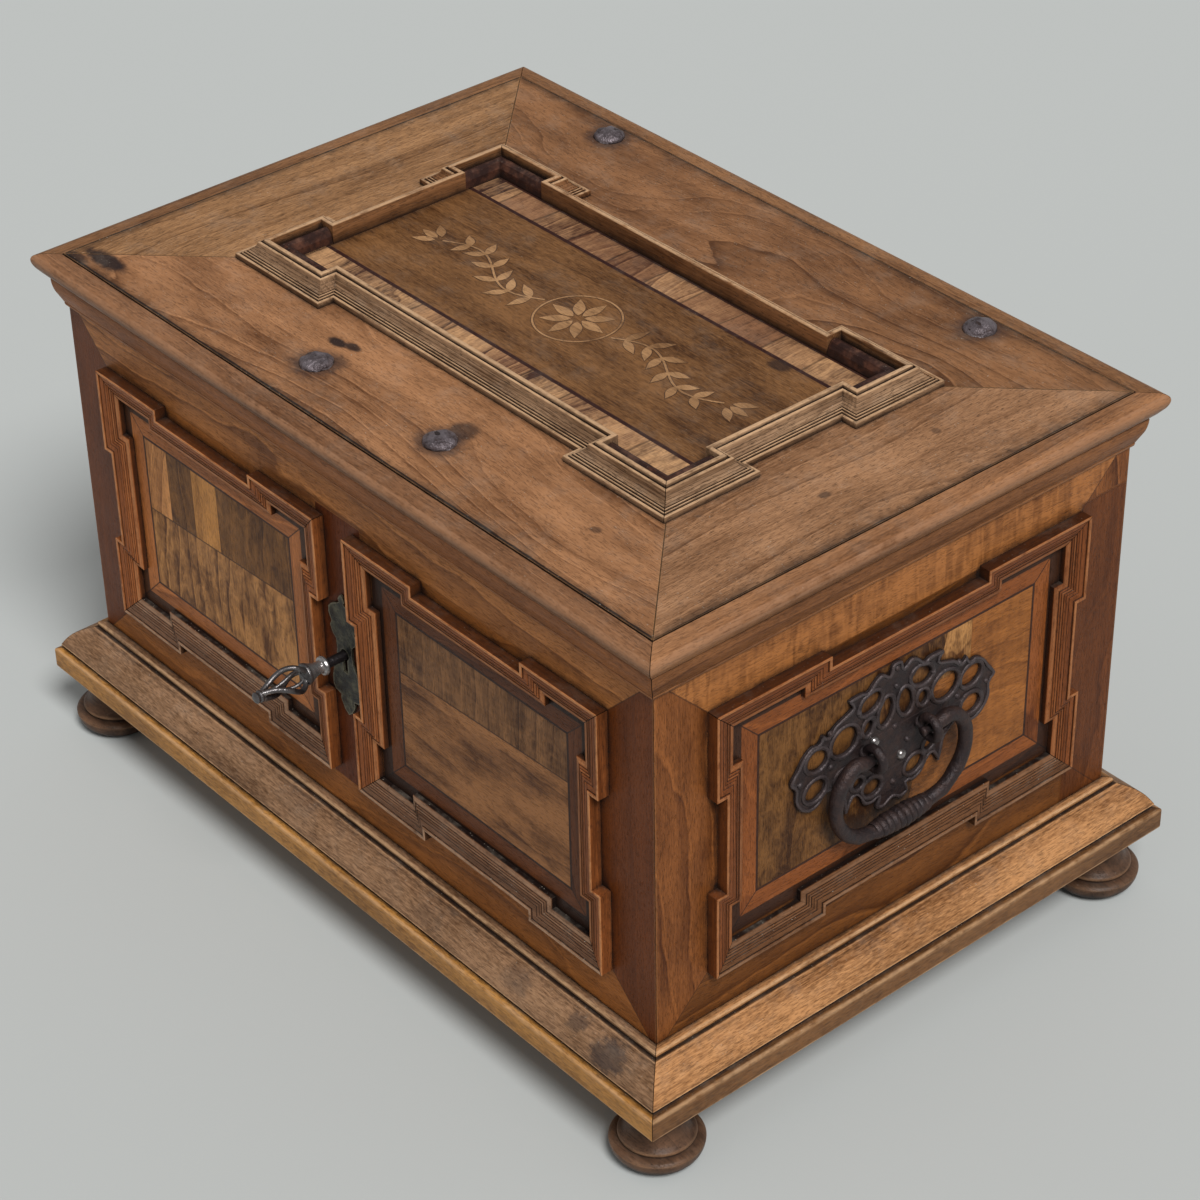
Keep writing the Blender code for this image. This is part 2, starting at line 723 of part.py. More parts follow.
def build_lid():
    board = [(0, lid_bottom), (lid_board_width, lid_bottom), (lid_board_width, lid_top), (0, lid_top)]
    boards = {}
    for side, name in enumerate(side_names):
        piece = mitred_length("lid_board_" + name, rectangle(lid_half_x, lid_half_y), side, board, level)
        boards[name] = link(piece, lid_pivot, walnut_lid)
    for name, spots in (("front", keeper_nails()), ("back", hinge_nails())):
        holes = []
        for number, (x, y) in enumerate(spots):
            hole = rod(
                f"nail_hole_{name}_{number}", (x, y, lid_bottom - overrun), (x, y, lid_top + overrun),
                nail_shank_radius + rest_gap, nail_sides,
            )
            holes.append(as_cutter(hole))
        cut(boards[name], holes)

    panel = block(
        "lid_panel", (-panel_half_x, -panel_half_y, lid_bottom), (panel_half_x, panel_half_y, lid_top)
    )
    link(panel, lid_pivot, walnut_dark)
    field_x = lid_moulding_half_x - lid_ear_projection - lid_moulding_width - rest_gap
    field_y = lid_moulding_half_y - lid_ear_projection - lid_moulding_width - rest_gap
    field = block(
        "lid_field", (-field_x, -field_y, lid_top - lid_bead_root),
        (field_x, field_y, lid_top + lid_field_rise),
    )
    beads = [corner_bead(sign_x, sign_y) for sign_x in (-1, 1) for sign_y in (-1, 1)]
    join(panel, [field] + beads)

    inner = lid_lip_gap
    nosing = scaled(lid_nosing_shares, lid_edge_projection, lid_edge_height)
    bed = scaled(lid_bed_shares, lid_edge_projection, lid_edge_height)
    full = [(inner, 0)] + nosing + bed + [(inner, lid_edge_height)]
    short = [(inner, 0)] + nosing + [(inner, lid_nosing_share * lid_edge_height)]
    for side, name in enumerate(side_names):
        rows = short if name == "back" else full
        profile = [(-out, lid_edge_top - down) for out, down in rows]
        strip = mitred_length("lid_edge_" + name, rectangle(half_x, half_y), side, profile, level)
        link(strip, lid_pivot, walnut_lid)

    base = lid_top + rest_gap
    rows = scaled(lid_moulding_shares, lid_moulding_width, lid_moulding_rise)
    profile = [(0, base)] + [(u, base + h) for u, h in rows] + [(lid_moulding_width, base)]
    line = eared(
        (-lid_moulding_half_x, -lid_moulding_half_y), (lid_moulding_half_x, lid_moulding_half_y),
        lid_ear_length_x, lid_ear_length_y, lid_ear_projection,
    )
    for side, name in enumerate(side_names):
        length = mitred_length("lid_moulding_" + name, line, side, profile, level)
        link(length, lid_pivot, walnut_moulding)


def corner_bead(sign_x, sign_y):
    """The dark half-round bead that fills an ear of the lid's moulding, bent round its corner."""
    half = (lid_ear_projection - rest_gap * 2) / 2
    far_x = lid_moulding_half_x - lid_moulding_width - rest_gap - half
    far_y = lid_moulding_half_y - lid_moulding_width - rest_gap - half
    near_x = lid_moulding_half_x - lid_ear_length_x + lid_moulding_width + rest_gap
    near_y = lid_moulding_half_y - lid_ear_length_y + lid_moulding_width + rest_gap
    corner = Vector((sign_x * far_x, sign_y * far_y))
    ends = (
        (Vector((sign_x * near_x, sign_y * far_y)), Vector((0, sign_y))),
        (corner, Vector((sign_x, sign_y))),
        (Vector((sign_x * far_x, sign_y * near_y)), Vector((sign_x, 0))),
    )
    crest = arc((0, lid_bead_wall), (-half, lid_bead_rise - lid_bead_wall), 0, math.pi, lid_bead_steps)
    rows = [(-half, -lid_bead_root)] + crest + [(half, -lid_bead_root)]
    tool = bmesh.new()
    rings = []
    for place, out in ends:
        ring_points = []
        for across, height in rows:
            spot = place + out * across
            ring_points.append(tool.verts.new((spot.x, spot.y, lid_top + height)))
        rings.append(ring_points)
    for first, second in zip(rings, rings[1:]):
        for i in range(len(rows)):
            j = (i + 1) % len(rows)
            tool.faces.new((first[i], first[j], second[j], second[i]))
    tool.faces.new(rings[0])
    tool.faces.new(list(reversed(rings[-1])))
    return object_from(f"bead_{sign_x}_{sign_y}", tool)


def keeper_nails():
    y = -half_y + keeper_nail_y
    return [(lock_shift - keeper_nail_x, y), (lock_shift + keeper_nail_x, y)]


def hinge_nails():
    y = half_y - hinge_nail_inset
    return [(-hinge_x, y), (hinge_x, y)]


def build_hinges():
    axis_y, axis_z = hinge_axis.y, hinge_axis.z
    strap_top = lid_bottom - rest_gap
    strap_bottom = strap_top - strap_thickness
    neck = hinge_knuckle_length / 2
    wide = strap_width / 2
    for name, sign, nail_place in zip(("left", "right"), (-1, 1), hinge_nails()):
        x = sign * hinge_x
        shoulder = half_y - rest_gap
        tip = shoulder - strap_length
        outline = [
            (x - neck, axis_y), (x - neck, shoulder), (x - wide, shoulder),
            (x - wide, tip + strap_point_length), (x, tip),
            (x + wide, tip + strap_point_length), (x + wide, shoulder), (x + neck, shoulder),
            (x + neck, axis_y),
        ]
        strap = flat(
            "hinge_strap_" + name, [outline], strap_thickness,
            Matrix.Identity(4), (0, 0, (strap_top + strap_bottom) / 2),
        )
        link(strap, lid_pivot, iron)
        knuckle = rod(
            "strap_knuckle_" + name, (x - neck, axis_y, axis_z), (x + neck, axis_y, axis_z),
            hinge_knuckle_radius, hinge_sides,
        )
        rivet = nail("hinge_nail_" + name, *nail_place, lid_top + rest_gap, strap_bottom)
        join(strap, [knuckle, rivet])
        bore = rod(
            "strap_bore_" + name, (x - wide, axis_y, axis_z), (x + wide, axis_y, axis_z),
            hinge_pin_radius + running_gap, hinge_sides,
        )
        cut(strap, [as_cutter(bore)])

        leaf_half = leaf_width / 2
        saddle = neck + running_gap
        low = axis_z - leaf_length
        notch = axis_z - hinge_knuckle_radius - running_gap * 2
        leaf_outline = [
            (x - leaf_half, axis_z), (x - leaf_half, low + leaf_point_length), (x, low),
            (x + leaf_half, low + leaf_point_length), (x + leaf_half, axis_z), (x + saddle, axis_z),
            (x + saddle, notch), (x - saddle, notch), (x - saddle, axis_z),
        ]
        leaf = flat(
            "hinge_leaf_" + name, [leaf_outline], leaf_thickness, upright_front,
            (0, half_y + rest_gap + leaf_thickness / 2, 0),
        )
        link(leaf, material=iron)
        pieces = []
        for end in (-1, 1):
            pieces.append(rod(
                f"leaf_knuckle_{name}_{end}", (x + end * saddle, axis_y, axis_z),
                (x + end * (leaf_half - running_gap), axis_y, axis_z),
                hinge_knuckle_radius, hinge_sides,
            ))
        pin_half = leaf_half + running_gap
        pieces.append(rod(
            "hinge_pin_" + name, (x - pin_half, axis_y, axis_z), (x + pin_half, axis_y, axis_z),
            hinge_pin_radius, hinge_sides,
        ))
        join(leaf, pieces)


def build_lock():
    case = block(
        "lock_case", (lock_shift - case_half_width, case_front, case_bottom),
        (lock_shift + case_half_width, case_back, case_top),
    )
    link(case, material=iron)
    inside_half = case_half_width - case_wall
    inside_front = case_front + case_wall
    inside_back = case_back - case_wall
    inside = block(
        "case_hollow", (lock_shift - inside_half, inside_front, case_bottom + case_wall),
        (lock_shift + inside_half, inside_back, case_top - case_wall),
    )
    mouth = flat(
        "case_keyhole", [keyhole((0, key_height))], case_wall + overrun,
        upright_front, (0, case_front + case_wall / 2, 0),
    )
    tools = [inside, mouth]
    for number, (x, _) in enumerate(keeper_nails()):
        tools.append(block(
            f"staple_slot_{number}",
            (x - staple_thickness, inside_front, case_top - case_wall - overrun),
            (x + staple_thickness, inside_back, case_top + overrun),
        ))
    cut(case, [as_cutter(tool) for tool in tools])
    guides = []
    ledge_top = bolt_bar_bottom - rest_gap
    web_sweep = bolt_web_half + bolt_travel + running_gap
    for number, start in enumerate((-web_sweep - guide_length, web_sweep)):
        guides.append(block(
            f"bolt_guide_{number}", (start, case_front + case_wall / 2, ledge_top - guide_thickness),
            (start + guide_length, bolt_front + bolt_thickness, ledge_top),
        ))
    join(case, guides)
    build_bolt()
    build_keeper()
    build_escutcheon()


def build_bolt():
    """The bolt: a web over the key's bit, a bar, and a prong for each staple, all cut from one plate."""
    reach = bolt_travel + bolt_upright_width
    tips = [x - staple_thickness / 2 - bolt_tip_gap for x, _ in keeper_nails()]
    tip_left, tip_right = tips
    back_left, back_right = tip_left - reach, tip_right - reach
    outline = [
        (-bolt_web_half, web_bottom), (bolt_web_half, web_bottom), (bolt_web_half, bolt_bar_bottom),
        (back_right + bolt_upright_width, bolt_bar_bottom),
        (back_right + bolt_upright_width, bolt_prong_bottom),
        (tip_right, bolt_prong_bottom), (tip_right, bolt_prong_top), (back_right, bolt_prong_top),
        (back_right, bolt_bar_top), (back_left + bolt_upright_width, bolt_bar_top),
        (back_left + bolt_upright_width, bolt_prong_bottom), (tip_left, bolt_prong_bottom),
        (tip_left, bolt_prong_top), (back_left, bolt_prong_top), (back_left, bolt_bar_bottom),
        (-bolt_web_half, bolt_bar_bottom),
    ]
    place = (0, bolt_front + bolt_thickness / 2, 0)
    bolt = flat("lock_bolt", [outline], bolt_thickness, upright_front, place)
    link(bolt, material=iron)


def build_keeper():
    """The keeper under the lid: a plate, two staples that drop into the lock case, and its two nails."""
    plate_top = lid_bottom - rest_gap
    inside_plate = plate_top - keeper_plate_thickness / 2
    eye_front = bolt_front - staple_slot_gap
    eye_back = bolt_front + bolt_thickness + staple_slot_gap
    keeper = block(
        "lock_keeper",
        (lock_shift - keeper_plate_half_x, staple_front, plate_top - keeper_plate_thickness),
        (lock_shift + keeper_plate_half_x, staple_front + keeper_plate_width, plate_top),
    )
    link(keeper, lid_pivot, iron)
    additions, slots = [], []
    for number, (x, y) in enumerate(keeper_nails()):
        additions.append(block(
            f"staple_{number}", (x - staple_thickness / 2, staple_front, staple_bottom),
            (x + staple_thickness / 2, eye_back + staple_wall, inside_plate),
        ))
        additions.append(nail(f"keeper_nail_{number}", x, y, lid_top + rest_gap, inside_plate))
        slots.append(as_cutter(block(
            f"staple_eye_{number}",
            (x - staple_thickness, eye_front, bolt_prong_bottom - staple_slot_gap),
            (x + staple_thickness, eye_back, bolt_prong_top + staple_slot_gap),
        )))
    join(keeper, additions)
    cut(keeper, slots)


def build_escutcheon():
    scaled_edge = scaled(escutcheon_shares, escutcheon_half_width, escutcheon_height)
    right_edge = [(a, escutcheon_bottom + b) for a, b in scaled_edge]
    left_edge = [(-a, b) for a, b in reversed(right_edge[1:-1])]
    shield = flat(
        "escutcheon", [right_edge + left_edge, keyhole((0, key_height))], escutcheon_thickness,
        upright_front, (0, -half_y - rest_gap - escutcheon_thickness / 2, 0),
    )
    link(shield, material=iron)


def build_key():
    """The key, its length along -Y: shank with bit, turned collars and a twisted cage for a bow."""
    lie_down = Matrix.Translation(key_axis) @ upright_front
    cage_start = key_collar_start + key_collar_length
    cage_end = key_reach - key_tip_length
    collars = []
    for along, wide in key_collar_shares:
        collars.append((wide * key_collar_radius, key_collar_start + along * key_collar_length))
    profile = [(0, -key_depth), (key_shank_radius, -key_depth), (key_shank_radius, key_collar_start)]
    profile += collars + [(0, cage_start)]
    key = turned("key", list(reversed(profile)), key_sides, lie_down)
    link(key, key_pivot, steel)
    tip = [(wide * key_tip_radius, cage_end + along * key_tip_length) for along, wide in key_tip_shares]
    knob_profile = [(0, cage_end)] + tip + [(0, key_reach)]
    additions = [turned("key_tip", list(reversed(knob_profile)), key_sides, lie_down)]
    bars_start = cage_start - key_bow_bar_radius
    bars_length = cage_end + key_bow_bar_radius - bars_start
    for bar in range(key_bow_bars):
        points = []
        for along, wide in key_bow_shares:
            angle = math.tau * bar / key_bow_bars + key_bow_twist * along
            reach = bars_start + bars_length * along
            radius = wide * key_bow_radius
            points.append((
                radius * math.cos(angle), -half_y - reach, key_height + radius * math.sin(angle),
            ))
        radii = [key_bow_bar_radius] * len(points)
        additions.append(tube(f"key_bow_bar_{bar}", points, radii, key_bow_bevel_steps))
    end_y = -half_y + key_depth - key_bit_setback
    additions.append(block(
        "key_bit", (-key_bit_thickness / 2, end_y - key_bit_length, key_height - key_bit_reach),
        (key_bit_thickness / 2, end_y, key_height),
    ))
    join(key, additions)


def plate_loops():
    """The scrolled rim of the plate, its pierced holes and the two holes for the eyes."""

    def hole(center, radii):
        return arc(center, radii, plate_hole_turn, math.tau + plate_hole_turn, plate_hole_points)[:-1]

    half = scaled(plate_edge_shares, plate_half_length, plate_half_height)
    loops = [half + [(-a, b) for a, b in reversed(half[1:-1])]]
    for a_share, b_share, across_share, up_share in plate_hole_shares:
        for sign in (-1, 1):
            center = (sign * a_share * plate_half_length, b_share * plate_half_height)
            loops.append(hole(center, (across_share * plate_half_length, up_share * plate_half_height)))
    radius = eye_shank_radius + rest_gap
    for sign in (-1, 1):
        center = (handle_y - plate_y + sign * eye_spacing / 2, handle_height - plate_height)
        loops.append(hole(center, (radius, radius)))
    return loops


def build_handles():
    for name, sign in (("right", 1), ("left", -1)):
        face_x = sign * (half_x + rest_gap)
        plate = flat(
            "handle_plate_" + name, plate_loops(), plate_thickness, upright_side,
            (face_x + sign * plate_thickness / 2, plate_y, plate_height),
        )
        link(plate, material=iron)
        nails = []
        outward = Matrix.Rotation(sign * math.radians(90), 4, "Y")
        dome = (plate_nail_radius, plate_nail_rise)
        head = arc((0, plate_thickness), dome, math.pi / 2, 0, nail_steps)
        head += [(plate_nail_radius, plate_thickness / 2), (0, plate_thickness / 2)]
        nail_places = scaled(plate_nail_shares, plate_half_length, plate_half_height)
        for number, (a, b) in enumerate(nail_places):
            place = Matrix.Translation((face_x, plate_y + a, plate_height + b))
            nails.append(turned(f"plate_nail_{name}_{number}", head, nail_sides, place @ outward))
        join(plate, nails)

        axis = Vector((sign * eye_axis_x, handle_y, handle_height))
        for end_name, end in (("front", -1), ("back", 1)):
            center = axis + Vector((0, end * eye_spacing / 2, 0))
            shank = rod(
                f"bail_eye_{name}_{end_name}", (sign * (half_x - eye_shank_depth), center.y, center.z),
                (sign * (eye_axis_x - eye_ring_radius), center.y, center.z),
                eye_shank_radius, eye_shank_sides,
            )
            link(shank, material=iron)
            join(shank, [ring(f"eye_ring_{name}_{end_name}", center)])

        pivot = new_empty(f"bail_pivot_{name}", axis, box)
        half = [(y * bail_half_width, z * bail_drop) for y, z in bail_arm_shares]
        start = eye_spacing / 2 - bail_end_overhang
        neck = [(start, 0), (eye_spacing / 2 + bail_end_overhang, 0)]
        arm = neck + half
        radii = [bail_end_radius] * 2 + [bail_arm_radius] * len(half)
        grip, grip_radii = grip_points()
        points = [(y, z) for y, z in arm] + grip + [(-y, z) for y, z in reversed(arm)]
        spots = [(axis.x, handle_y + y, handle_height + z) for y, z in points]
        radii = radii + grip_radii + list(reversed(radii))
        bail = tube(f"bail_{name}", spots, radii, bail_bevel_steps)
        link(bail, pivot, iron)


def grip_points():
    """The ribbed middle of the bail, from +Y to -Y: two points of unlike radius for each rib."""
    points, radii = [], []
    count = bail_ribs * 2
    for i in range(count + 1):
        share = i / count
        points.append((bail_grip_half * (1 - share * 2), -bail_drop))
        swell = math.sin(math.pi * share)
        rib = bail_rib_depth if i % 2 else -bail_rib_depth
        radii.append(bail_arm_radius + (bail_grip_radius - bail_arm_radius) * swell + rib)
    return points, radii


def ring(name, center):
    """A ring of round wire round a line along Y."""
    tool = bmesh.new()
    rows = []
    for i in range(eye_ring_steps):
        turn = math.tau * i / eye_ring_steps
        out = Vector((math.cos(turn), 0, math.sin(turn)))
        row = []
        for j in range(eye_wire_steps):
            roll = math.tau * j / eye_wire_steps
            spot = center + out * (eye_ring_radius + eye_wire_radius * math.cos(roll))
            row.append(tool.verts.new(spot + Vector((0, eye_wire_radius * math.sin(roll), 0))))
        rows.append(row)
    for i, row in enumerate(rows):
        following = rows[(i + 1) % eye_ring_steps]
        for j in range(eye_wire_steps):
            k = (j + 1) % eye_wire_steps
            tool.faces.new((row[j], row[k], following[k], following[j]))
    return object_from(name, tool)


build_carcass()
build_plinth()
build_feet()
build_wall_frames()
build_lid()
build_hinges()
build_lock()
build_key()
build_handles()
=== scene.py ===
# %% [markdown]
# # A walnut marriage box, dressed in Blender
#
# The solids of the box come packed as one model: boards, mouldings, lock, handles, each a node of its
# own. This notebook gives them the look of three hundred years of use: figured walnut with open pores,
# dark inlaid lines, grime in the corners, worn ridges and brown forged iron.

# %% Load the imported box
import math

import bmesh
import bpy
from mathutils import Matrix, Vector, noise as lumps

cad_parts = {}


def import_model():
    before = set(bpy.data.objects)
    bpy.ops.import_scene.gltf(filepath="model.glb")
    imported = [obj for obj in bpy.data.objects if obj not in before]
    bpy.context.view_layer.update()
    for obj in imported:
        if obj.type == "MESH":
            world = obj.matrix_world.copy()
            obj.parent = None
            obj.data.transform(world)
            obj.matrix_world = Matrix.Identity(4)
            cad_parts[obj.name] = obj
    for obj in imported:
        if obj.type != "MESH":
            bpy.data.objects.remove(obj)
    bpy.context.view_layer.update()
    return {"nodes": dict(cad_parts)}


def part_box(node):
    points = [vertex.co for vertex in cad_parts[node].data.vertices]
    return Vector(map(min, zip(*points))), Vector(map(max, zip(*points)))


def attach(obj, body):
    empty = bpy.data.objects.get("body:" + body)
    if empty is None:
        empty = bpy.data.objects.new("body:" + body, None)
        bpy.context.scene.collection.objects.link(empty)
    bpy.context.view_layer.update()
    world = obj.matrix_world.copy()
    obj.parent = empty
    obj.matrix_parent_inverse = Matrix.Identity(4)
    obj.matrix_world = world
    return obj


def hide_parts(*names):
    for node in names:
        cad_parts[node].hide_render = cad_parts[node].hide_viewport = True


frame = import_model()

# %% [markdown]
# ## The box's own frame
#
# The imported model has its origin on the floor, under the middle of the whole footprint. It is easier to
# think in the frame of the carcass, with its middle at x = y = 0 and z = 0 at the top of the plinth.
# The four wall boards say where that is.

# %% Find the carcass
wall_height = 0.2214
front_low, front_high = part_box("front_board")
_, back_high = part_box("back_board")
box_y = (front_low.y + back_high.y) / 2
box_z = front_high.z - wall_height
half_x = front_high.x
half_y = (back_high.y - front_low.y) / 2
print("carcass", round(half_x * 2, 4), "by", round(half_y * 2, 4), "plinth top at", round(box_z, 4))


def world(x, y, z):
    """A point of the carcass's frame in the scene."""
    return Vector((x, y + box_y, z + box_z))

# %% [markdown]
# ## The camera
#
# The photograph looks down on the front right corner, from about three metres away through a long lens.
# The place, the angles and the focal length below were solved from the right angles of the box itself.

# %% Camera
focal_length = 99.49
camera_place = world(1.1477, -0.9460, 1.1007)
camera_yaw, camera_pitch, camera_roll = (math.radians(a) for a in (50.174, 34.851, -1.196))
forward = Vector((
    -math.sin(camera_yaw) * math.cos(camera_pitch), math.cos(camera_yaw) * math.cos(camera_pitch),
    -math.sin(camera_pitch),
))
level_right = Vector((math.cos(camera_yaw), math.sin(camera_yaw), 0))
level_up = level_right.cross(forward)
right = level_right * math.cos(camera_roll) + level_up * math.sin(camera_roll)
up = level_up * math.cos(camera_roll) - level_right * math.sin(camera_roll)
lens = bpy.data.cameras.new("camera")
lens.lens = focal_length
lens.sensor_width = 36
camera = bpy.data.objects.new("camera", lens)
camera.matrix_world = Matrix.Translation(camera_place) @ Matrix((right, up, -forward)).transposed().to_4x4()
bpy.context.scene.collection.objects.link(camera)
bpy.context.scene.camera = camera
print("camera", tuple(round(v, 3) for v in camera_place))

# %% [markdown]
# ## Helpers for colours and nodes
#
# A material here is a graph of many small nodes. A few short functions keep each line readable: one adds
# a node, one does sums, one mixes colours, one draws a soft step.

# %% Colour and node helpers


def srgb(red, green, blue):
    """A colour as a screen shows it, 0 to 255, made linear."""
    linear = []
    for value in (red, green, blue):
        share = value / 255
        linear.append(share / 12.92 if share <= 0.04045 else ((share + 0.055) / 1.055) ** 2.4)
    return (*linear, 1.0)

# %% Node helpers


def feed(tree, target, value):
    """Gives an input a value, or links another node's output to it."""
    if isinstance(value, bpy.types.NodeSocket):
        tree.links.new(value, target)
    else:
        target.default_value = value


def node(tree, kind, inputs=(), **settings):
    """Adds a node, feeds its inputs by name or number, and sets its settings."""
    made = tree.nodes.new("ShaderNode" + kind)
    for name, value in settings.items():
        setattr(made, name, value)
    for name, value in dict(inputs).items():
        feed(tree, made.inputs[name], value)
    return made


def calc(tree, operation, *values, clamp=False):
    return node(tree, "Math", dict(enumerate(values)), operation=operation, use_clamp=clamp).outputs[0]


def times(tree, first, second, clamp=False):
    return calc(tree, "MULTIPLY", first, second, clamp=clamp)


def times_plus(tree, value, factor, more, clamp=False):
    """value times factor, plus more."""
    return calc(tree, "MULTIPLY_ADD", value, factor, more, clamp=clamp)


def minus(tree, first, second):
    return calc(tree, "SUBTRACT", first, second)


def size_of(tree, value):
    return calc(tree, "ABSOLUTE", value)


def mixed(tree, share, first, second):
    return node(tree, "Mix", {0: share, 6: first, 7: second}, data_type="RGBA", blend_type="MIX").outputs[2]


def step(tree, value, low, high):
    """0 up to low and 1 from high on, with a soft rise; the other way round where low is over high."""
    inputs = {"Value": value, "From Min": low, "From Max": high}
    return node(tree, "MapRange", inputs, interpolation_type="SMOOTHSTEP").outputs[0]


def noise(tree, place, scale, detail=2.0, roughness=0.5, distortion=0.0):
    return node(tree, "TexNoise", {
        "Vector": place, "Scale": scale, "Detail": detail, "Roughness": roughness, "Distortion": distortion,
    }).outputs["Fac"]


def stretched(tree, place, x, y, z):
    return node(tree, "VectorMath", {0: place, 1: (x, y, z)}, operation="MULTIPLY").outputs[0]


def shifted(tree, place, offset):
    return node(tree, "VectorMath", {0: place, 1: offset}, operation="ADD").outputs[0]


def parted(tree, vector):
    return node(tree, "SeparateXYZ", {0: vector}).outputs


def joined(tree, x, y, z):
    return node(tree, "CombineXYZ", {0: x, 1: y, 2: z}).outputs[0]

# %% Group helpers


def new_group(name, takes, gives):
    """A node group with named sockets: its tree, its inputs and its outputs."""
    group = bpy.data.node_groups.new(name, "ShaderNodeTree")
    for label, kind, default in takes:
        made = group.interface.new_socket(label, in_out="INPUT", socket_type="NodeSocket" + kind)
        if default is not None:
            made.default_value = default
    for label, kind in gives:
        group.interface.new_socket(label, in_out="OUTPUT", socket_type="NodeSocket" + kind)
    return group, group.nodes.new("NodeGroupInput").outputs, group.nodes.new("NodeGroupOutput").inputs


def use(tree, group, inputs=()):
    made = tree.nodes.new("ShaderNodeGroup")
    made.node_tree = group
    for label, value in dict(inputs).items():
        feed(tree, made.inputs[label], value)
    return made.outputs

# %% [markdown]
# ## Where a point is on the box
#
# All patterns hang on one set of coordinates: object coordinates, moved into the carcass's frame. The
# grain does not slide when the lid opens, because object coordinates move with the object.

# %% Group: place on the box
place_group, takes, gives = new_group("place_on_box", [], [("Place", "Vector")])
coordinates = node(place_group, "TexCoord").outputs["Object"]
feed(place_group, gives["Place"], shifted(place_group, coordinates, (0, -box_y, -box_z)))
print("place on the box:", len(place_group.nodes), "nodes")

# %% [markdown]
# ## Walnut
#
# A plain-sawn walnut board shows several things at once: growth rings cut at a slant, which draw long
# flowing lines, some strong and some faint; streaks along the grain; short dark pores, most of them on
# the early side of each ring; and slow changes of tone. Curl is the ripple across the grain, and burr the
# clouded figure of wood from a root or a knot. One slow noise bends the grain, and all else follows it.

# %% Group: walnut figure
walnut_group, takes, gives = new_group("walnut_figure", [
    ("Vector", "Vector", None), ("Light", "Color", None), ("Dark", "Color", None), ("Ring", "Float", 0.006),
    ("Waves", "Float", 2.0), ("Lines", "Float", 0.5), ("Streaks", "Float", 1.0), ("Pores", "Float", 0.5),
    ("Mottle", "Float", 0.6), ("Patch", "Float", 1.0), ("Curl", "Float", 0.0), ("Burr", "Float", 0.0),
    ("Nap", "Float", 0.0),
], [("Color", "Color"), ("Height", "Float")])
t = walnut_group
bend = noise(t, stretched(t, takes["Vector"], 4, 11, 11), 1.0, 1.0)
bend = times(t, minus(t, bend, 0.5), takes["Waves"])
kink = noise(t, stretched(t, takes["Vector"], 22, 60, 60), 1.0, 2.0)
bend = times_plus(t, kink, 0.35, bend)
along, across, deep = parted(t, takes["Vector"])
rings = calc(t, "DIVIDE", times_plus(t, deep, 0.4, across), takes["Ring"])
rings = times_plus(t, bend, 2.0, rings)
flow = times_plus(t, bend, 0.006, across)
flowing = joined(t, along, flow, deep)
ring = calc(t, "FRACT", rings)
ring_tone = node(t, "TexWhiteNoise", {"W": calc(t, "FLOOR", rings)}, noise_dimensions="1D").outputs["Value"]
line = times(t, calc(t, "POWER", ring, 6.0), step(t, ring, 1.0, 0.97))
pale_line = times(t, step(t, ring, 0.0, 0.03), step(t, ring, 0.12, 0.05))
line = times_plus(t, pale_line, -0.6, line)
line = times(t, line, times_plus(t, ring_tone, 0.9, 0.1))
fibre = noise(t, stretched(t, flowing, 34, 1500, 1500), 1.0, 3.0, 0.65)
streak = noise(t, stretched(t, flowing, 5, 160, 160), 1.0, 2.0, 0.55)
pore = noise(t, stretched(t, flowing, 240, 2300, 2300), 1.0, 1.0)
pore = step(t, times_plus(t, ring, -0.05, pore), 0.56, 0.66)
mottle = noise(t, stretched(t, takes["Vector"], 8, 24, 24), takes["Patch"], 4.0, 0.62)
ripple = noise(t, stretched(t, takes["Vector"], 230, 40, 40), 1.0, 1.0, 0.5, 0.8)
clouds = noise(t, stretched(t, takes["Vector"], 70, 120, 120), 1.0, 3.0, 0.6, 1.2)
nap = noise(t, stretched(t, flowing, 190, 1000, 1000), 1.0, 2.0, 0.6)
shade = times(t, line, takes["Lines"])
shade = times_plus(t, minus(t, ring_tone, 0.5), times(t, takes["Lines"], 0.25), shade)
for pattern, gain, amount in (
    (fibre, 1.5, "Streaks"), (streak, 1.2, "Streaks"), (mottle, 1.7, "Mottle"), (ripple, 1.6, "Curl"),
    (clouds, 1.9, "Burr"), (nap, 1.9, "Nap"),
):
    swing = times(t, minus(t, pattern, 0.5), gain)
    shade = times_plus(t, swing, takes[amount], shade)
shade = calc(t, "ADD", shade, 0.42, clamp=True)
colour = mixed(t, shade, takes["Light"], takes["Dark"])
pore_share = times(t, pore, takes["Pores"])
pore_colour = (0.008, 0.005, 0.004, 1)
colour = mixed(t, pore_share, colour, mixed(t, 0.7, takes["Dark"], pore_colour))
feed(t, gives["Color"], colour)
height = times_plus(t, pore, -0.8, times_plus(t, fibre, -0.5, 1.0))
feed(t, gives["Height"], height)
print("walnut figure:", len(t.nodes), "nodes")

# %% [markdown]
# ## Grime, painted shade and wear
#
# Dirt settles where a corner shades the surface, and that shade is painted in as well, so an ambient
# occlusion node finds both and darkens the colour there. Wear is the reverse: the same node, looking
# inwards, is dark just behind an edge that sticks out. Both are broken up with noise, because neither is
# ever even.

# %% Group: grime and painted shade in the corners
grime_and_shade_group, takes, gives = new_group(
    "corner_grime_and_shade", [("Place", "Vector", None), ("Reach", "Float", 0.008), ("Amount", "Float", 1.0)],
    [("Mask", "Float")],
)
t = grime_and_shade_group
# The more a spot is shut in by nearby surfaces, the darker it is painted: grime and painted shade together.
shelter = node(t, "AmbientOcclusion", {"Distance": takes["Reach"]}, samples=4).outputs["AO"]
patches = noise(t, takes["Place"], 160.0, 3.0, 0.6)
shelter = times_plus(t, minus(t, patches, 0.5), 0.5, shelter)
feed(t, gives["Mask"], times(t, step(t, shelter, 0.80, 0.30), takes["Amount"], clamp=True))
print("grime:", len(t.nodes), "nodes")

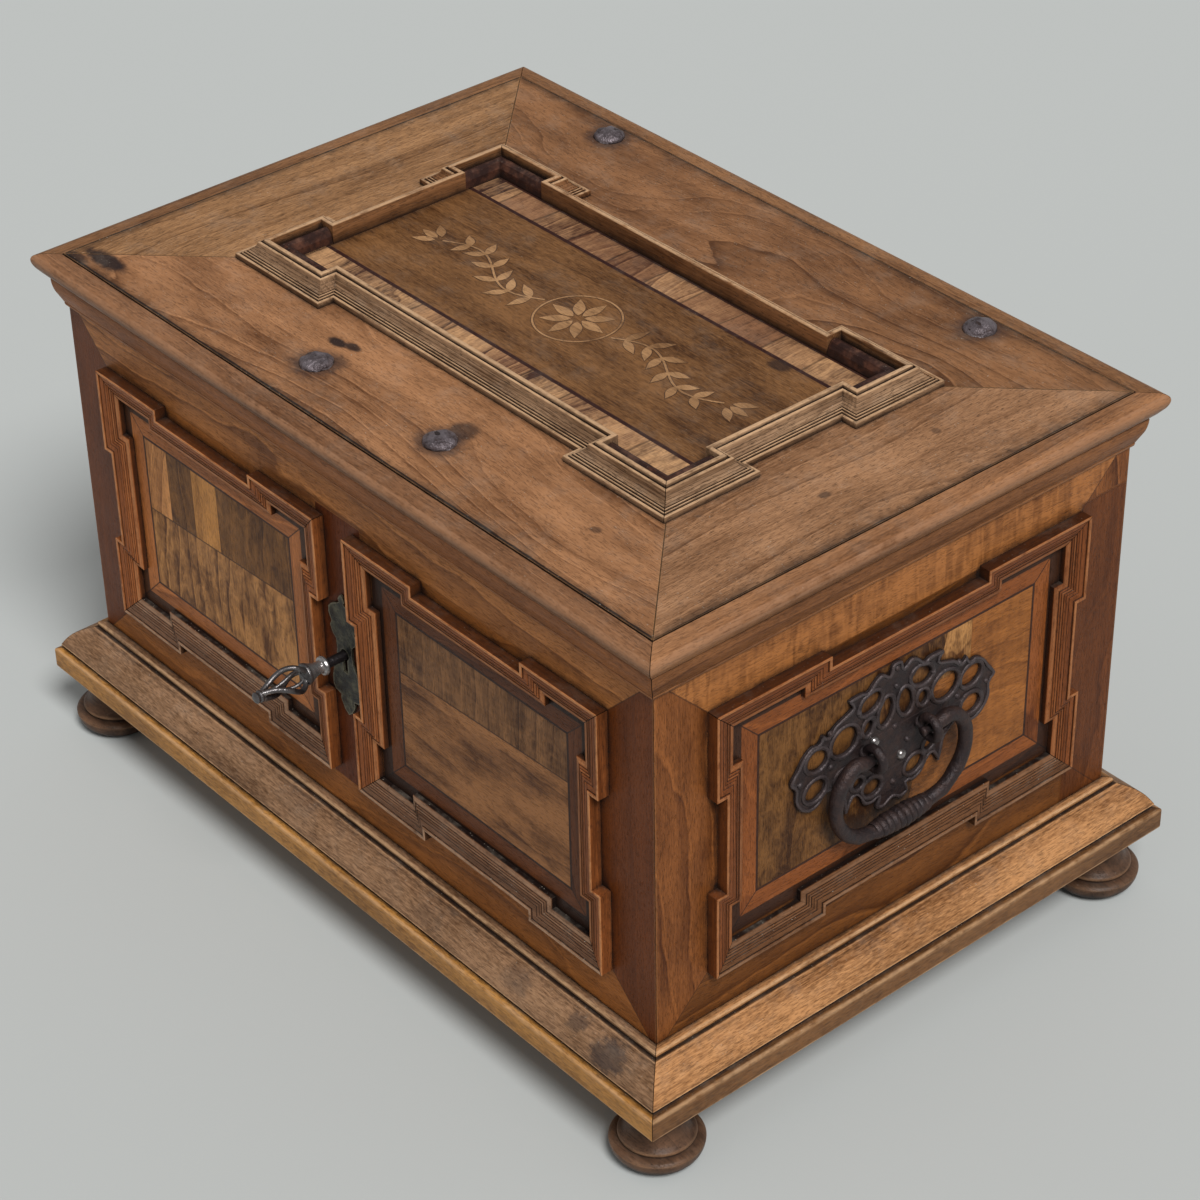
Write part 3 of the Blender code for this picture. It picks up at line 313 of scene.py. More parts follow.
# %% Group: worn edges
wear_group, takes, gives = new_group(
    "worn_edges", [("Place", "Vector", None), ("Reach", "Float", 0.0015), ("Amount", "Float", 1.0)],
    [("Mask", "Float")],
)
t = wear_group
inside = node(t, "AmbientOcclusion", {"Distance": takes["Reach"]}, samples=4, inside=True, only_local=True)
patches = noise(t, takes["Place"], 90.0, 3.0, 0.6)
edge = times_plus(t, minus(t, patches, 0.5), 0.5, inside.outputs["AO"])
feed(t, gives["Mask"], times(t, step(t, edge, 0.90, 0.50), takes["Amount"], clamp=True))
print("worn edges:", len(t.nodes), "nodes")

# %% [markdown]
# ## Stains, rectangles and dust
#
# A stain is an ellipse with a ragged edge. A rectangle group measures how far a point is outside a
# rectangle, and whether it is beyond an upright side: with it one board can carry a field, a dark inlaid
# line and a border with mitred corners. Dust lies as pale specks on what faces up.

# %% Group: stain
stain_group, takes, gives = new_group("stain", [
    ("Place", "Vector", None), ("Centre", "Vector", None), ("Size", "Vector", None), ("Ragged", "Float", 0.6),
], [("Mask", "Float")])
t = stain_group
offset = node(t, "VectorMath", {0: takes["Place"], 1: takes["Centre"]}, operation="SUBTRACT").outputs[0]
offset = node(t, "VectorMath", {0: offset, 1: takes["Size"]}, operation="DIVIDE").outputs[0]
reach = node(t, "VectorMath", {0: offset}, operation="LENGTH").outputs["Value"]
ragged = minus(t, noise(t, takes["Place"], 220.0, 3.0, 0.6), 0.5)
reach = times_plus(t, ragged, takes["Ragged"], reach)
feed(t, gives["Mask"], step(t, reach, 1.1, 0.55))
print("stain:", len(t.nodes), "nodes")

# %% Group: distance outside a rectangle
rectangle_group, takes, gives = new_group("rectangle", [
    ("A", "Float", 0.0), ("B", "Float", 0.0), ("Centre A", "Float", 0.0), ("Centre B", "Float", 0.0),
    ("Half A", "Float", 0.1), ("Half B", "Float", 0.1),
], [("Distance", "Float"), ("Upright", "Float"), ("Mitre", "Float")])
t = rectangle_group
beyond_a, beyond_b = (
    minus(t, size_of(t, minus(t, takes[way], takes["Centre " + way])), takes["Half " + way]) for way in "AB"
)
difference = minus(t, beyond_a, beyond_b)
feed(t, gives["Distance"], calc(t, "MAXIMUM", beyond_a, beyond_b))
feed(t, gives["Upright"], step(t, difference, -0.00005, 0.00005))
feed(t, gives["Mitre"], step(t, size_of(t, difference), 0.0007, 0.0003))
print("rectangle:", len(t.nodes), "nodes")

# %% Group: dust
dust_group, takes, gives = new_group(
    "dust", [("Place", "Vector", None), ("Amount", "Float", 0.5)], [("Mask", "Float")],
)
t = dust_group
facing_up = parted(t, node(t, "TexCoord").outputs["Normal"])[2]
specks = step(t, noise(t, takes["Place"], 900.0, 1.0), 0.71, 0.78)
film = times(t, step(t, noise(t, takes["Place"], 60.0, 4.0, 0.7), 0.45, 0.75), 0.25)
dust = times(t, calc(t, "MAXIMUM", specks, film), step(t, facing_up, 0.2, 0.9))
feed(t, gives["Mask"], times(t, dust, takes["Amount"], clamp=True))
print("shared groups:", len(bpy.data.node_groups))

# %% [markdown]
# ## From figure to finish
#
# Every wooden surface ends the same way: wear lightens it, grime and painted shade darken its corners,
# dust lies on top, and the pores make a small bump. One function adds those layers; only the colours and
# amounts differ.

# %% Wood finish
grain_orders = {"x": (0, 1, 2), "y": (1, 0, 2), "z": (2, 0, 1)}
grime_and_shade_colour = srgb(34, 24, 20)
dust_colour = srgb(176, 166, 152)


def turned_grain(tree, place, grain, seed=0.0):
    """The place with the direction of the grain first, moved along so that no two boards are alike."""
    parts = parted(tree, place)
    first, second, third = (parts[i] for i in grain_orders[grain])
    return shifted(tree, joined(tree, first, second, third), (seed * 1.37, seed * 0.71, seed * 0.53))


def walnut(tree, vector, light, dark, figure):
    return use(tree, walnut_group, {"Vector": vector, "Light": light, "Dark": dark, **figure})


def new_material(name):
    material = bpy.data.materials.new(name)
    material.use_nodes = True
    tree = material.node_tree
    place = use(tree, place_group)["Place"]
    return material, tree, place


def wood_finish(
    tree, place, colour, height, worn=srgb(190, 140, 92), wear=0.3, wear_reach=0.0009, grime=0.9,
    grime_reach=0.008, dust=0.3, roughness=0.5, bump=0.8,
):
    """Adds wear, grime with painted shade, dust and bump, and feeds the material's shader."""
    if wear:
        mask = use(tree, wear_group, {"Place": place, "Reach": wear_reach, "Amount": wear})["Mask"]
        colour = mixed(tree, mask, colour, worn)
    # Corners and hollows are darkened by ambient occlusion: grime, and painted shade.
    dirt_and_shade = use(tree, grime_and_shade_group, {"Place": place, "Reach": grime_reach, "Amount": grime})["Mask"]
    colour = mixed(tree, dirt_and_shade, colour, grime_and_shade_colour)
    if dust:
        mask = use(tree, dust_group, {"Place": place, "Amount": dust})["Mask"]
        colour = mixed(tree, mask, colour, dust_colour)
    shader = tree.nodes["Principled BSDF"]
    feed(tree, shader.inputs["Base Color"], colour)
    patches = noise(tree, place, 35.0, 3.0)
    rough = times_plus(tree, patches, 0.22, roughness - 0.11)
    feed(tree, shader.inputs["Roughness"], times_plus(tree, dirt_and_shade, 0.2, rough, clamp=True))
    relief = node(tree, "Bump", {"Strength": bump, "Distance": 0.0003, "Height": height})
    feed(tree, shader.inputs["Normal"], relief.outputs[0])
    shader.inputs["Specular IOR Level"].default_value = 0.16

# %% Colours as the light shows them
haze = 0.0105


def tones(red, green, blue, lamp=1.0, spread=0.5):
    """The light and dark of a wood, from how it looks on the box and how much of the lamp reaches it.

    A thin grey shine lies over everything, so it is taken off first. Dark wood is also the redder one.
    """
    mean = [max(value - haze, 0.002) / lamp for value in srgb(red, green, blue)[:3]]
    light = [min(value * (1 + spread * gain), 0.95) for value, gain in zip(mean, (0.92, 1.0, 1.08))]
    dark = [value * (1 - spread * gain) for value, gain in zip(mean, (1.05, 1.18, 1.3))]
    return [(*light, 1.0), (*dark, 1.0)]


top_lamp, right_lamp, front_lamp = 0.93, 0.77, 0.40
print("lid's walnut, light and dark:", [round(shade[0], 3) for shade in tones(146, 104, 73, top_lamp)])

# %% A plain board's material


def plain_walnut(name, grain, light, dark, seed, figure, **finish):
    """A material for a piece that is one stick or board."""
    material, tree, place = new_material(name)
    vector = turned_grain(tree, place, grain, seed)
    wood = walnut(tree, vector, light, dark, figure)
    wood_finish(tree, place, wood["Color"], wood["Height"], **finish)
    return material


def dress(material, *names):
    """Gives CAD solids a material."""
    for name in names:
        for slot in frame["nodes"][name].material_slots:
            slot.material = material


sides = ("front", "right", "back", "left")
side_grain = {"front": "x", "right": "y", "back": "x", "left": "y"}
print("grain of the four sides:", side_grain)

# %% [markdown]
# ## The lid's boards
#
# Four wide boards meet in mitres, so the grain turns at each corner. The top is the most handled and the
# most sunlit face: dry, pale, with dark seams, ink spots, and a bluish stain round each iron nail.

# %% Lid boards
ink_colour, nail_stain_colour, seam_colour = srgb(38, 28, 28), srgb(52, 42, 42), srgb(22, 15, 13)
nail_places = [(-0.0553, -0.1265), (0.0457, -0.1265), (-0.1456, 0.1463), (0.1456, 0.1463)]
lid_seam = (0.2393, 0.1583)
lid_stains = [
    ((-0.218, -0.146), (0.020, 0.007), 0.95), ((-0.232, -0.156), (0.010, 0.005), 0.8),
    ((-0.0650, -0.1060), (0.0075, 0.0040), 0.95), ((-0.0560, -0.1030), (0.0070, 0.0035), 0.9),
    ((0.0455, -0.1130), (0.010, 0.011), 0.75), ((-0.050, -0.118), (0.010, 0.007), 0.35),
    ((0.155, -0.120), (0.004, 0.003), 0.6), ((-0.150, 0.020), (0.004, 0.003), 0.4),
    ((0.205, -0.020), (0.003, 0.004), 0.6), ((0.200, 0.060), (0.003, 0.003), 0.5),
]


lid_top, underside = 0.2416, 0.2280


def lid_board(side, light, dark, seed, figure, seam_width):
    material, tree, place = new_material("lid_" + side)
    vector = turned_grain(tree, place, side_grain[side], seed)
    wood = walnut(tree, vector, light, dark, figure)
    x, y, z = parted(tree, place)
    flat = joined(tree, x, y, 0.0)
    colour = wood["Color"]
    spots = [(*spot, ink_colour) for spot in lid_stains]
    spots += [(nail_place, (0.0165, 0.0155), 0.65, nail_stain_colour) for nail_place in nail_places]
    for centre, size, strength, paint in spots:
        inputs = {"Place": flat, "Centre": (*centre, 0), "Size": (*size, 1)}
        mask = times(tree, use(tree, stain_group, inputs)["Mask"], strength)
        colour = mixed(tree, mask, colour, paint)
    seam = use(tree, rectangle_group, {"A": x, "B": y, "Half A": lid_seam[0], "Half B": lid_seam[1]})
    patches = minus(tree, noise(tree, place, 90.0, 3.0), 0.5)
    dirt_and_shade = times_plus(tree, patches, 0.010, seam["Distance"])
    colour = mixed(tree, times(tree, step(tree, dirt_and_shade, -0.007, 0.001), 0.6), colour, grime_and_shade_colour)
    wander = times(tree, minus(tree, noise(tree, place, 60.0, 2.0), 0.5), 0.0012)
    line = calc(tree, "ADD", seam["Distance"], wander)
    line = step(tree, line, -seam_width - 0.0003, -seam_width + 0.0001)
    colour = mixed(tree, times(tree, line, 0.93), colour, seam_colour)
    colour = mixed(tree, step(tree, z, underside + 0.0010, underside), colour, wood["Color"])
    gaping = times_plus(tree, noise(tree, place, 40.0), 0.9, 0.55)
    open_mitre = times(tree, seam["Mitre"], gaping, clamp=True)
    colour = mixed(tree, open_mitre, colour, srgb(28, 19, 16))
    wood_finish(
        tree, place, colour, wood["Height"], wear=0.35, grime=0.9, grime_reach=0.013, dust=0.4, roughness=0.6,
    )
    return material


front_figure = dict(
    Ring=0.012, Waves=8.0, Lines=0.9, Streaks=0.5, Pores=0.35, Mottle=1.35, Patch=1.7, Nap=0.2,
)
side_figure = dict(Ring=0.013, Waves=3.0, Lines=0.7, Streaks=0.6, Pores=0.6, Mottle=1.0, Patch=1.5, Nap=0.6)
for side, colour, seed, figure, seam_width in (
    ("front", (146, 104, 73), 0.0, front_figure, 0.0011), ("back", (125, 88, 61), 3.1, front_figure, 0.0003),
    ("right", (145, 107, 78), 1.7, side_figure, 0.0003), ("left", (143, 106, 74), 4.4, side_figure, 0.0005),
):
    finish = lid_board(side, *tones(*colour, top_lamp), seed, figure, seam_width)
    dress(finish, "lid_board_" + side)
print("lid stains:", len(lid_stains), "nails:", len(nail_places))

# %% [markdown]
# ## The lid's panel
#
# Inside the moulding lies a panel of dark walnut veneer. Along its front and back run cross-bands of
# pale figured blocks, each between two dark lines. The same node also holds the four dark beads in the
# ears of the moulding, which stand higher than the panel and so are told apart by their height.

# %% Panel material
band_start, band_end, block_length = 0.0490, 0.0690, 0.030
string_colour = srgb(52, 27, 23)


def panel_material():
    material, tree, place = new_material("lid_panel")
    x, y, z = parted(tree, place)
    field = walnut(tree, turned_grain(tree, place, "x", 2.3), *tones(108, 76, 50, top_lamp, 0.6), dict(
        Ring=0.018, Waves=3.0, Lines=0.2, Streaks=0.7, Pores=0.3, Mottle=1.3, Patch=2.0, Nap=0.7,
    ))
    off_middle = size_of(tree, y)
    blocks = times_plus(tree, noise(tree, joined(tree, x, y, 0.0), 16.0), 0.012, x)
    block = calc(tree, "FLOOR", calc(tree, "DIVIDE", blocks, block_length))
    tone = node(tree, "TexWhiteNoise", {"Vector": joined(tree, block, calc(tree, "SIGN", y), 0.0)})
    tint = parted(tree, tone.outputs["Color"])
    light = mixed(tree, tint[0], srgb(206, 158, 112), srgb(140, 98, 70))
    dark = mixed(tree, tint[1], srgb(104, 66, 46), srgb(58, 36, 30))
    band = walnut(tree, turned_grain(tree, place, "y", 5.2), light, dark, dict(
        Ring=0.012, Waves=5.0, Lines=0.7, Streaks=0.6, Pores=0.3, Mottle=1.4, Curl=0.2, Burr=0.5, Nap=0.5,
    ))
    seam = size_of(tree, minus(tree, calc(tree, "FRACT", calc(tree, "DIVIDE", blocks, block_length)), 0.5))
    seam = times(tree, step(tree, seam, 0.465, 0.490), 0.55)
    band_colour = mixed(tree, seam, band["Color"], grime_and_shade_colour)
    in_band = step(tree, off_middle, band_start - 0.0001, band_start + 0.0001)
    colour = mixed(tree, in_band, field["Color"], band_colour)
    for string_place in (band_start, band_end):
        line = size_of(tree, minus(tree, off_middle, string_place))
        colour = mixed(tree, step(tree, line, 0.0014, 0.0010), colour, string_colour)
    flat = joined(tree, x, y, 0.0)
    spot = use(tree, stain_group, {"Place": flat, "Centre": (0.104, 0.045, 0), "Size": (0.008, 0.006, 1)})
    colour = mixed(tree, times(tree, spot["Mask"], 0.8), colour, srgb(48, 34, 30))
    colour = mixed(tree, step(tree, z, underside + 0.0010, underside), colour, field["Color"])
    rubbed = noise(tree, place, 120.0, 3.0, 0.6)
    bead = mixed(tree, step(tree, rubbed, 0.4, 0.75), srgb(46, 28, 24), srgb(96, 58, 42))
    colour = mixed(tree, step(tree, z, lid_top + 0.0008, lid_top + 0.0011), colour, bead)
    # The occlusion darkening along the moulding is grime and painted shade.
    wood_finish(
        tree, place, colour, field["Height"], wear=0.3, worn=srgb(120, 70, 48), grime=1.0, grime_reach=0.010,
        dust=0.3, roughness=0.5,
    )
    return material


dress(panel_material(), "lid_panel")
print("cross-bands from", band_start, "to", band_end)

# %% [markdown]
# ## The mouldings
#
# The eared mouldings were planed as sticks with fine ridges, then cut and mitred round every jog. The
# solids have the same outline with fewer ridges; these pieces repeat it at full detail. Hands and cloths
# have rubbed the crests pale, while wax and dirt blacken the grooves, so each point of the profile also
# carries a number, from 0 in a groove to 1 on a crest, that the finish reads.

# %% Profile and outline


def eared(low, high, ear_a, ear_b, jut):
    """A rectangle with ears at its corners, anticlockwise from its lower left: 5 points for each side."""
    a0, b0 = low
    a1, b1 = high
    return [
        (a0, b0), (a0 + ear_a, b0), (a0 + ear_a, b0 + jut), (a1 - ear_a, b0 + jut), (a1 - ear_a, b0),
        (a1, b0), (a1, b0 + ear_b), (a1 - jut, b0 + ear_b), (a1 - jut, b1 - ear_b), (a1, b1 - ear_b),
        (a1, b1), (a1 - ear_a, b1), (a1 - ear_a, b1 - jut), (a0 + ear_a, b1 - jut), (a0 + ear_a, b1),
        (a0, b1), (a0, b1 - ear_b), (a0 + jut, b1 - ear_b), (a0 + jut, b0 + ear_b), (a0, b0 + ear_b),
    ]


mitre_gap = 0.00025

# %% Pieces and mitred sticks


def as_piece(name, tool, sharp=35):
    """Turns the mesh tool into an object of the scene, smooth but for edges sharper than the angle."""
    bmesh.ops.recalc_face_normals(tool, faces=tool.faces)
    mesh = bpy.data.meshes.new(name)
    tool.to_mesh(mesh)
    tool.free()
    mesh.shade_smooth()
    mesh.set_sharp_from_angle(angle=math.radians(sharp))
    piece = bpy.data.objects.new(name, mesh)
    bpy.context.scene.collection.objects.link(piece)
    return piece


def hand_over(piece, material, body, slot, *replaced):
    """Gives a piece its material and the body it rides on, and hides the solids it stands for; slot is not
    used.
    """
    piece.data.materials.append(material)
    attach(piece, body)
    if replaced:
        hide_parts(*replaced)
    return piece


def mitred_stick(name, outline, side, profile, put):
    """One side of a mitred frame, swept along its outline; put turns (a, b, height) into the box's frame."""
    each = len(outline) // 4
    tool = bmesh.new()
    crest_layer = tool.verts.layers.float.new("crest")
    rings = []
    for count in range(each + 1):
        index = (side * each + count) % len(outline)
        here = Vector(outline[index])
        before = (here - Vector(outline[index - 1])).normalized()
        after = (Vector(outline[(index + 1) % len(outline)]) - here).normalized()
        inward_before = Vector((-before.y, before.x))
        inward_after = Vector((-after.y, after.x))
        mitre = (inward_before + inward_after) / (1 + inward_before.dot(inward_after))
        shift = after * mitre_gap if count == 0 else before * -mitre_gap if count == each else Vector((0, 0))
        ring = []
        for inwards, height, crest in profile:
            spot = here + mitre * inwards + shift
            vertex = tool.verts.new(world(*put(spot.x, spot.y, height)))
            vertex[crest_layer] = crest
            ring.append(vertex)
        rings.append(ring)
    for first, second in zip(rings, rings[1:]):
        for i, j in zip(range(len(profile)), [*range(1, len(profile)), 0]):
            tool.faces.new((first[i], first[j], second[j], second[i]))
    tool.faces.new(rings[0])
    tool.faces.new(list(reversed(rings[-1])))
    return as_piece(name, tool, 20)


print("mitre gap:", mitre_gap)

# %% Round shapes


def turned(tool, profile, steps, matrix):
    """A lathe-turned shape: (radius, height) points spun about the matrix's own Z."""
    rings = []
    for radius, height in profile:
        turns = [math.tau * i / steps for i in range(steps if radius else 1)]
        spots = [Vector((radius * math.cos(turn), radius * math.sin(turn), height)) for turn in turns]
        rings.append([tool.verts.new(matrix @ spot) for spot in spots])
    for first, second in zip(rings, rings[1:]):
        for i in range(steps):
            j = (i + 1) % steps
            corners = [first[i % len(first)], first[j % len(first)]]
            corners = list(dict.fromkeys(corners + [second[j % len(second)], second[i % len(second)]]))
            if len(corners) > 2:
                tool.faces.new(corners)


def smooth_line(points, steps, closed=False):
    """A curve through the points, by the cubic of Catmull and Rom. A point may carry a radius too."""
    count = len(points)
    made = []
    for i in range(count if closed else count - 1):
        places = [(i + k) % count if closed else min(max(i + k, 0), count - 1) for k in (-1, 0, 1, 2)]
        a, b, c, d = (Vector(points[place]) for place in places)
        for number in range(steps):
            t = number / steps
            square, cube = a * 2 - b * 5 + c * 4 - d, b * 3 - a - c * 3 + d
            made.append((b * 2 + (c - a) * t + square * t ** 2 + cube * t ** 3) / 2)
    if not closed:
        made.append(Vector(points[-1]))
    return made


def bar(tool, points, radii, steps, thin_way=None, thin=1.0, closed=False):
    """A round bar along a line of points, thinned along one direction where that is given."""
    count = len(points)
    rings = []
    across = thin_way
    for i, point in enumerate(points):
        before = points[i - 1] if i or closed else point
        after = points[(i + 1) % count] if i + 1 < count or closed else point
        along = (after - before).normalized()
        if across is None:
            across = along.orthogonal()
        across = (across - along * along.dot(across)).normalized()
        other = along.cross(across)
        turns = [math.tau * j / steps for j in range(steps)]
        rings.append([
            tool.verts.new(point + (across * (math.cos(turn) * thin) + other * math.sin(turn)) * radii[i])
            for turn in turns
        ])
    pairs = list(zip(rings, rings[1:]))
    if closed:
        pairs.append((rings[-1], rings[0]))
    else:
        tool.faces.new(rings[0])
        tool.faces.new(rings[-1])
    for first, second in pairs:
        for j in range(steps):
            k = (j + 1) % steps
            tool.faces.new((first[j], first[k], second[k], second[j]))


def hammered(tool, size, depth):
    """Moves the surface in and out by a noise of the given size, as hand work leaves it."""
    bmesh.ops.recalc_face_normals(tool, faces=tool.faces)
    tool.normal_update()
    moves = [vertex.normal * (lumps.noise(vertex.co / size) * depth) for vertex in tool.verts]
    for vertex, move in zip(tool.verts, moves):
        vertex.co += move


print("smooth line:", len(smooth_line([(0, 0), (1, 0), (1, 1)], 4)), "points")

# %% Moulding finish


rubbed_figure = dict(Ring=0.006, Waves=1.5, Lines=0.5, Streaks=1.3, Pores=0.5, Mottle=1.3, Patch=2.5)
stick_figure = dict(Ring=0.006, Waves=1.5, Lines=0.3, Streaks=1.0, Pores=0.4, Mottle=0.6)
blue_stain_colour, groove_colour = srgb(48, 42, 44), srgb(26, 16, 13)
plinth_stains = [
    ((0.222, -0.176, -0.010), (0.014, 0.012, 0.009), 0.75),
    ((0.196, -0.176, -0.006), (0.010, 0.010, 0.006), 0.60),
    ((0.150, -0.175, -0.009), (0.012, 0.010, 0.007), 0.35),
    ((0.247, -0.150, -0.012), (0.010, 0.008, 0.008), 0.40),
    ((0.080, -0.172, -0.012), (0.016, 0.010, 0.006), 0.25),
    ((-0.040, -0.172, -0.008), (0.020, 0.010, 0.006), 0.25),
]


def moulding(
    name, grain, light, dark, worn, seed, dust=0.3, figure=stick_figure, stains=(), depth=0.9, band=None,
):
    """Walnut with pale crests and black grooves, read from the crest number on the mesh."""
    material, tree, place = new_material(name)
    vector = turned_grain(tree, place, grain, seed)
    if band:
        below = step(tree, parted(tree, place)[2], band["top"] + 0.0002, band["top"] - 0.0002)
        light, dark = (mixed(tree, below, *pair) for pair in zip((light, dark), band["tones"]))
    wood = walnut(tree, vector, light, dark, figure)
    crest = node(tree, "Attribute", attribute_name="crest").outputs["Fac"]
    rubbed = noise(tree, place, 140.0, 4.0, 0.65)
    long_rub = noise(tree, stretched(tree, turned_grain(tree, place, grain, seed), 30, 500, 500), 1.0, 2.0)
    rub = calc(tree, "ADD", rubbed, long_rub)
    top = times(tree, step(tree, crest, 0.55, 1.0), step(tree, rub, 0.6, 1.15))
    colour = wood["Color"]
    for centre, size, strength in stains:
        inputs = {"Place": place, "Centre": centre, "Size": size, "Ragged": 1.2}
        mask = times(tree, use(tree, stain_group, inputs)["Mask"], strength)
        colour = mixed(tree, mask, colour, blue_stain_colour)
    colour = mixed(tree, times(tree, top, 0.8), colour, worn)
    groove = step(tree, times_plus(tree, rub, 0.28, crest), 0.78, 0.25)
    colour = mixed(tree, times(tree, groove, depth), colour, groove_colour)
    wood_finish(
        tree, place, colour, wood["Height"], wear=0.0, grime=1.0, grime_reach=0.0045, dust=dust,
        roughness=0.45,
    )
    return material


print("stains on the plinth:", len(plinth_stains))

# %% [markdown]
# ## The moulding round the panel
#
# The lid's moulding stands on the boards, with a step outwards at each ear. From the panel side its section
# is a pale crest, a dark groove, a hollow with fine lines, two thin crests and the round outer one.

# %% Lid moulding
mould_top = 0.2419
lid_rise, lid_width = 0.0115, 0.0138
lid_rows = [
    (0.0, 0.0, 0.1), (0.0, 0.20, 0.35), (0.015, 0.25, 0.9), (0.10, 0.265, 1.0), (0.125, 0.24, 0.6),
    (0.135, 0.18, 0.0), (0.155, 0.18, 0.0), (0.165, 0.30, 0.7), (0.195, 0.325, 1.0), (0.22, 0.30, 0.7),
    (0.23, 0.25, 0.0), (0.25, 0.25, 0.0), (0.26, 0.36, 0.7), (0.29, 0.385, 1.0), (0.315, 0.36, 0.6),
    (0.325, 0.32, 0.0), (0.345, 0.33, 0.1), (0.355, 0.39, 0.5), (0.42, 0.44, 0.5), (0.43, 0.42, 0.1),
    (0.44, 0.45, 0.5), (0.50, 0.52, 0.5), (0.51, 0.50, 0.12), (0.52, 0.54, 0.5), (0.58, 0.64, 0.55),
    (0.59, 0.63, 0.12), (0.60, 0.67, 0.5), (0.63, 0.74, 0.5), (0.64, 0.83, 0.7), (0.655, 0.865, 1.0),
    (0.72, 0.89, 1.0), (0.735, 0.87, 0.6), (0.745, 0.79, 0.0), (0.80, 0.79, 0.0), (0.815, 0.93, 0.5),
    (0.83, 0.975, 0.95), (0.87, 1.0, 1.0), (0.96, 1.0, 0.95), (0.995, 0.97, 0.8), (1.0, 0.90, 0.45),
    (1.0, 0.45, 0.30), (1.0, 0.0, 0.0),
]
lid_profile = [(u * lid_width, mould_top + h * lid_rise, c) for u, h, c in lid_rows]
lid_line = eared((-0.1730, -0.0932), (0.1730, 0.0932), 0.0740, 0.0615, 0.0100)


def lying(a, b, height):
    return a, b, height


for number, side in enumerate(sides):
    name = "ridged_lid_moulding_" + side
    piece = mitred_stick(name, lid_line, number, lid_profile, lying)
    # The back and left lengths, on the side away from the lamp, get darker colours than the front and right:
    # painted shade.
    shade = tones(138, 109, 84, 0.95) if side in ("front", "right") else tones(126, 88, 60, 0.95)
    finish = moulding(
        name, side_grain[side], *shade, srgb(210, 170, 130), 0.6 * number, 0.5, rubbed_figure, depth=0.8,
    )
    hand_over(piece, finish, "lid", "walnut_moulding", "lid_moulding_" + side)
print("crests in the lid's moulding:", sum(crest == 1.0 for _, _, crest in lid_rows))

# %% [markdown]
# ## The lid's edge
#
# A round nosing runs along the lid's edge, and a hollow bed moulding carries it down to the wall. The
# nosing catches the light and the hands, so it is paler than the bed: one material holds both pairs of
# colours and changes over at a height.

# %% Lid edge
edge_out, edge_tall, edge_top = 0.0130, 0.0312, 0.2412
nosing = [
    (0.04, 0.0), (0.40, 0.0), (0.66, 0.005), (0.82, 0.025), (0.94, 0.06), (0.99, 0.10), (1.0, 0.14),
    (0.97, 0.20), (0.89, 0.27), (0.76, 0.34), (0.62, 0.41), (0.54, 0.44), (0.50, 0.452),
]
bed = [(0.47, 0.49), (0.465, 0.54), (0.44, 0.62), (0.38, 0.72), (0.27, 0.82), (0.18, 0.90), (0.15, 0.93)]
nosing_rows = [(out, down, 0.62 + 0.38 * (0.03 < down < 0.20)) for out, down in smooth_line(nosing, 3)]
bed_rows = [(0.49, 0.462, 0.0), (0.45, 0.468, 0.0), (0.455, 0.475, 0.1)]
bed_rows += [(out, down, 0.55) for out, down in smooth_line(bed, 3)]
bed_rows += [(0.13, 0.94, 0.1), (0.14, 0.955, 0.7), (0.13, 0.98, 0.8), (0.11, 1.0, 0.5), (0.04, 1.0, 0.3)]
edge_figure = dict(Ring=0.007, Waves=1.5, Lines=0.5, Streaks=0.6, Pores=0.35, Mottle=1.0, Patch=1.3, Nap=0.5)
far_edge, far_bed = tones(124, 88, 60, 0.9), tones(100, 66, 42, 0.7)
edge_tones = {
    "front": tones(124, 88, 63, 0.90), "right": tones(140, 99, 69, 0.93), "back": far_edge, "left": far_edge,
}
bed_tones = {
    "front": tones(106, 68, 43, 0.45), "right": tones(124, 82, 52, right_lamp), "back": far_bed,
    "left": far_bed,
}
wall_line = [(-half_x, -half_y), (half_x, -half_y), (half_x, half_y), (-half_x, half_y)]
back_rows = [(0.50, 0.475, 0.3), (0.04, 0.475, 0.3)]
for number, name in enumerate(sides):
    rows = nosing_rows + (back_rows if name == "back" else bed_rows)
    profile = [(-out * edge_out, edge_top - down * edge_tall, crest) for out, down, crest in rows]
    piece = mitred_stick("nosing_" + name, wall_line, number, profile, lying)
    finish = moulding(
        "nosing_" + name, side_grain[name], *edge_tones[name], srgb(158, 115, 84), 0.9 * number + 0.4, 0.3,
        edge_figure, band={"top": edge_top - 0.455 * edge_tall, "tones": bed_tones[name]},
    )
    hand_over(piece, finish, "lid", "walnut_lid", "lid_edge_" + name)

print("section of the lid's edge:", len(nosing_rows) + len(bed_rows), "points")

# %% [markdown]
# ## The walls' mouldings
#
# Two eared frames on the front and one on each side, all of one section: a flat lip outside, then fine
# ridges falling away to the panel. The bottom lengths face up, so they hold dust and show greyer, with
# black grooves; the other lengths are red-brown and rubbed along the lip.

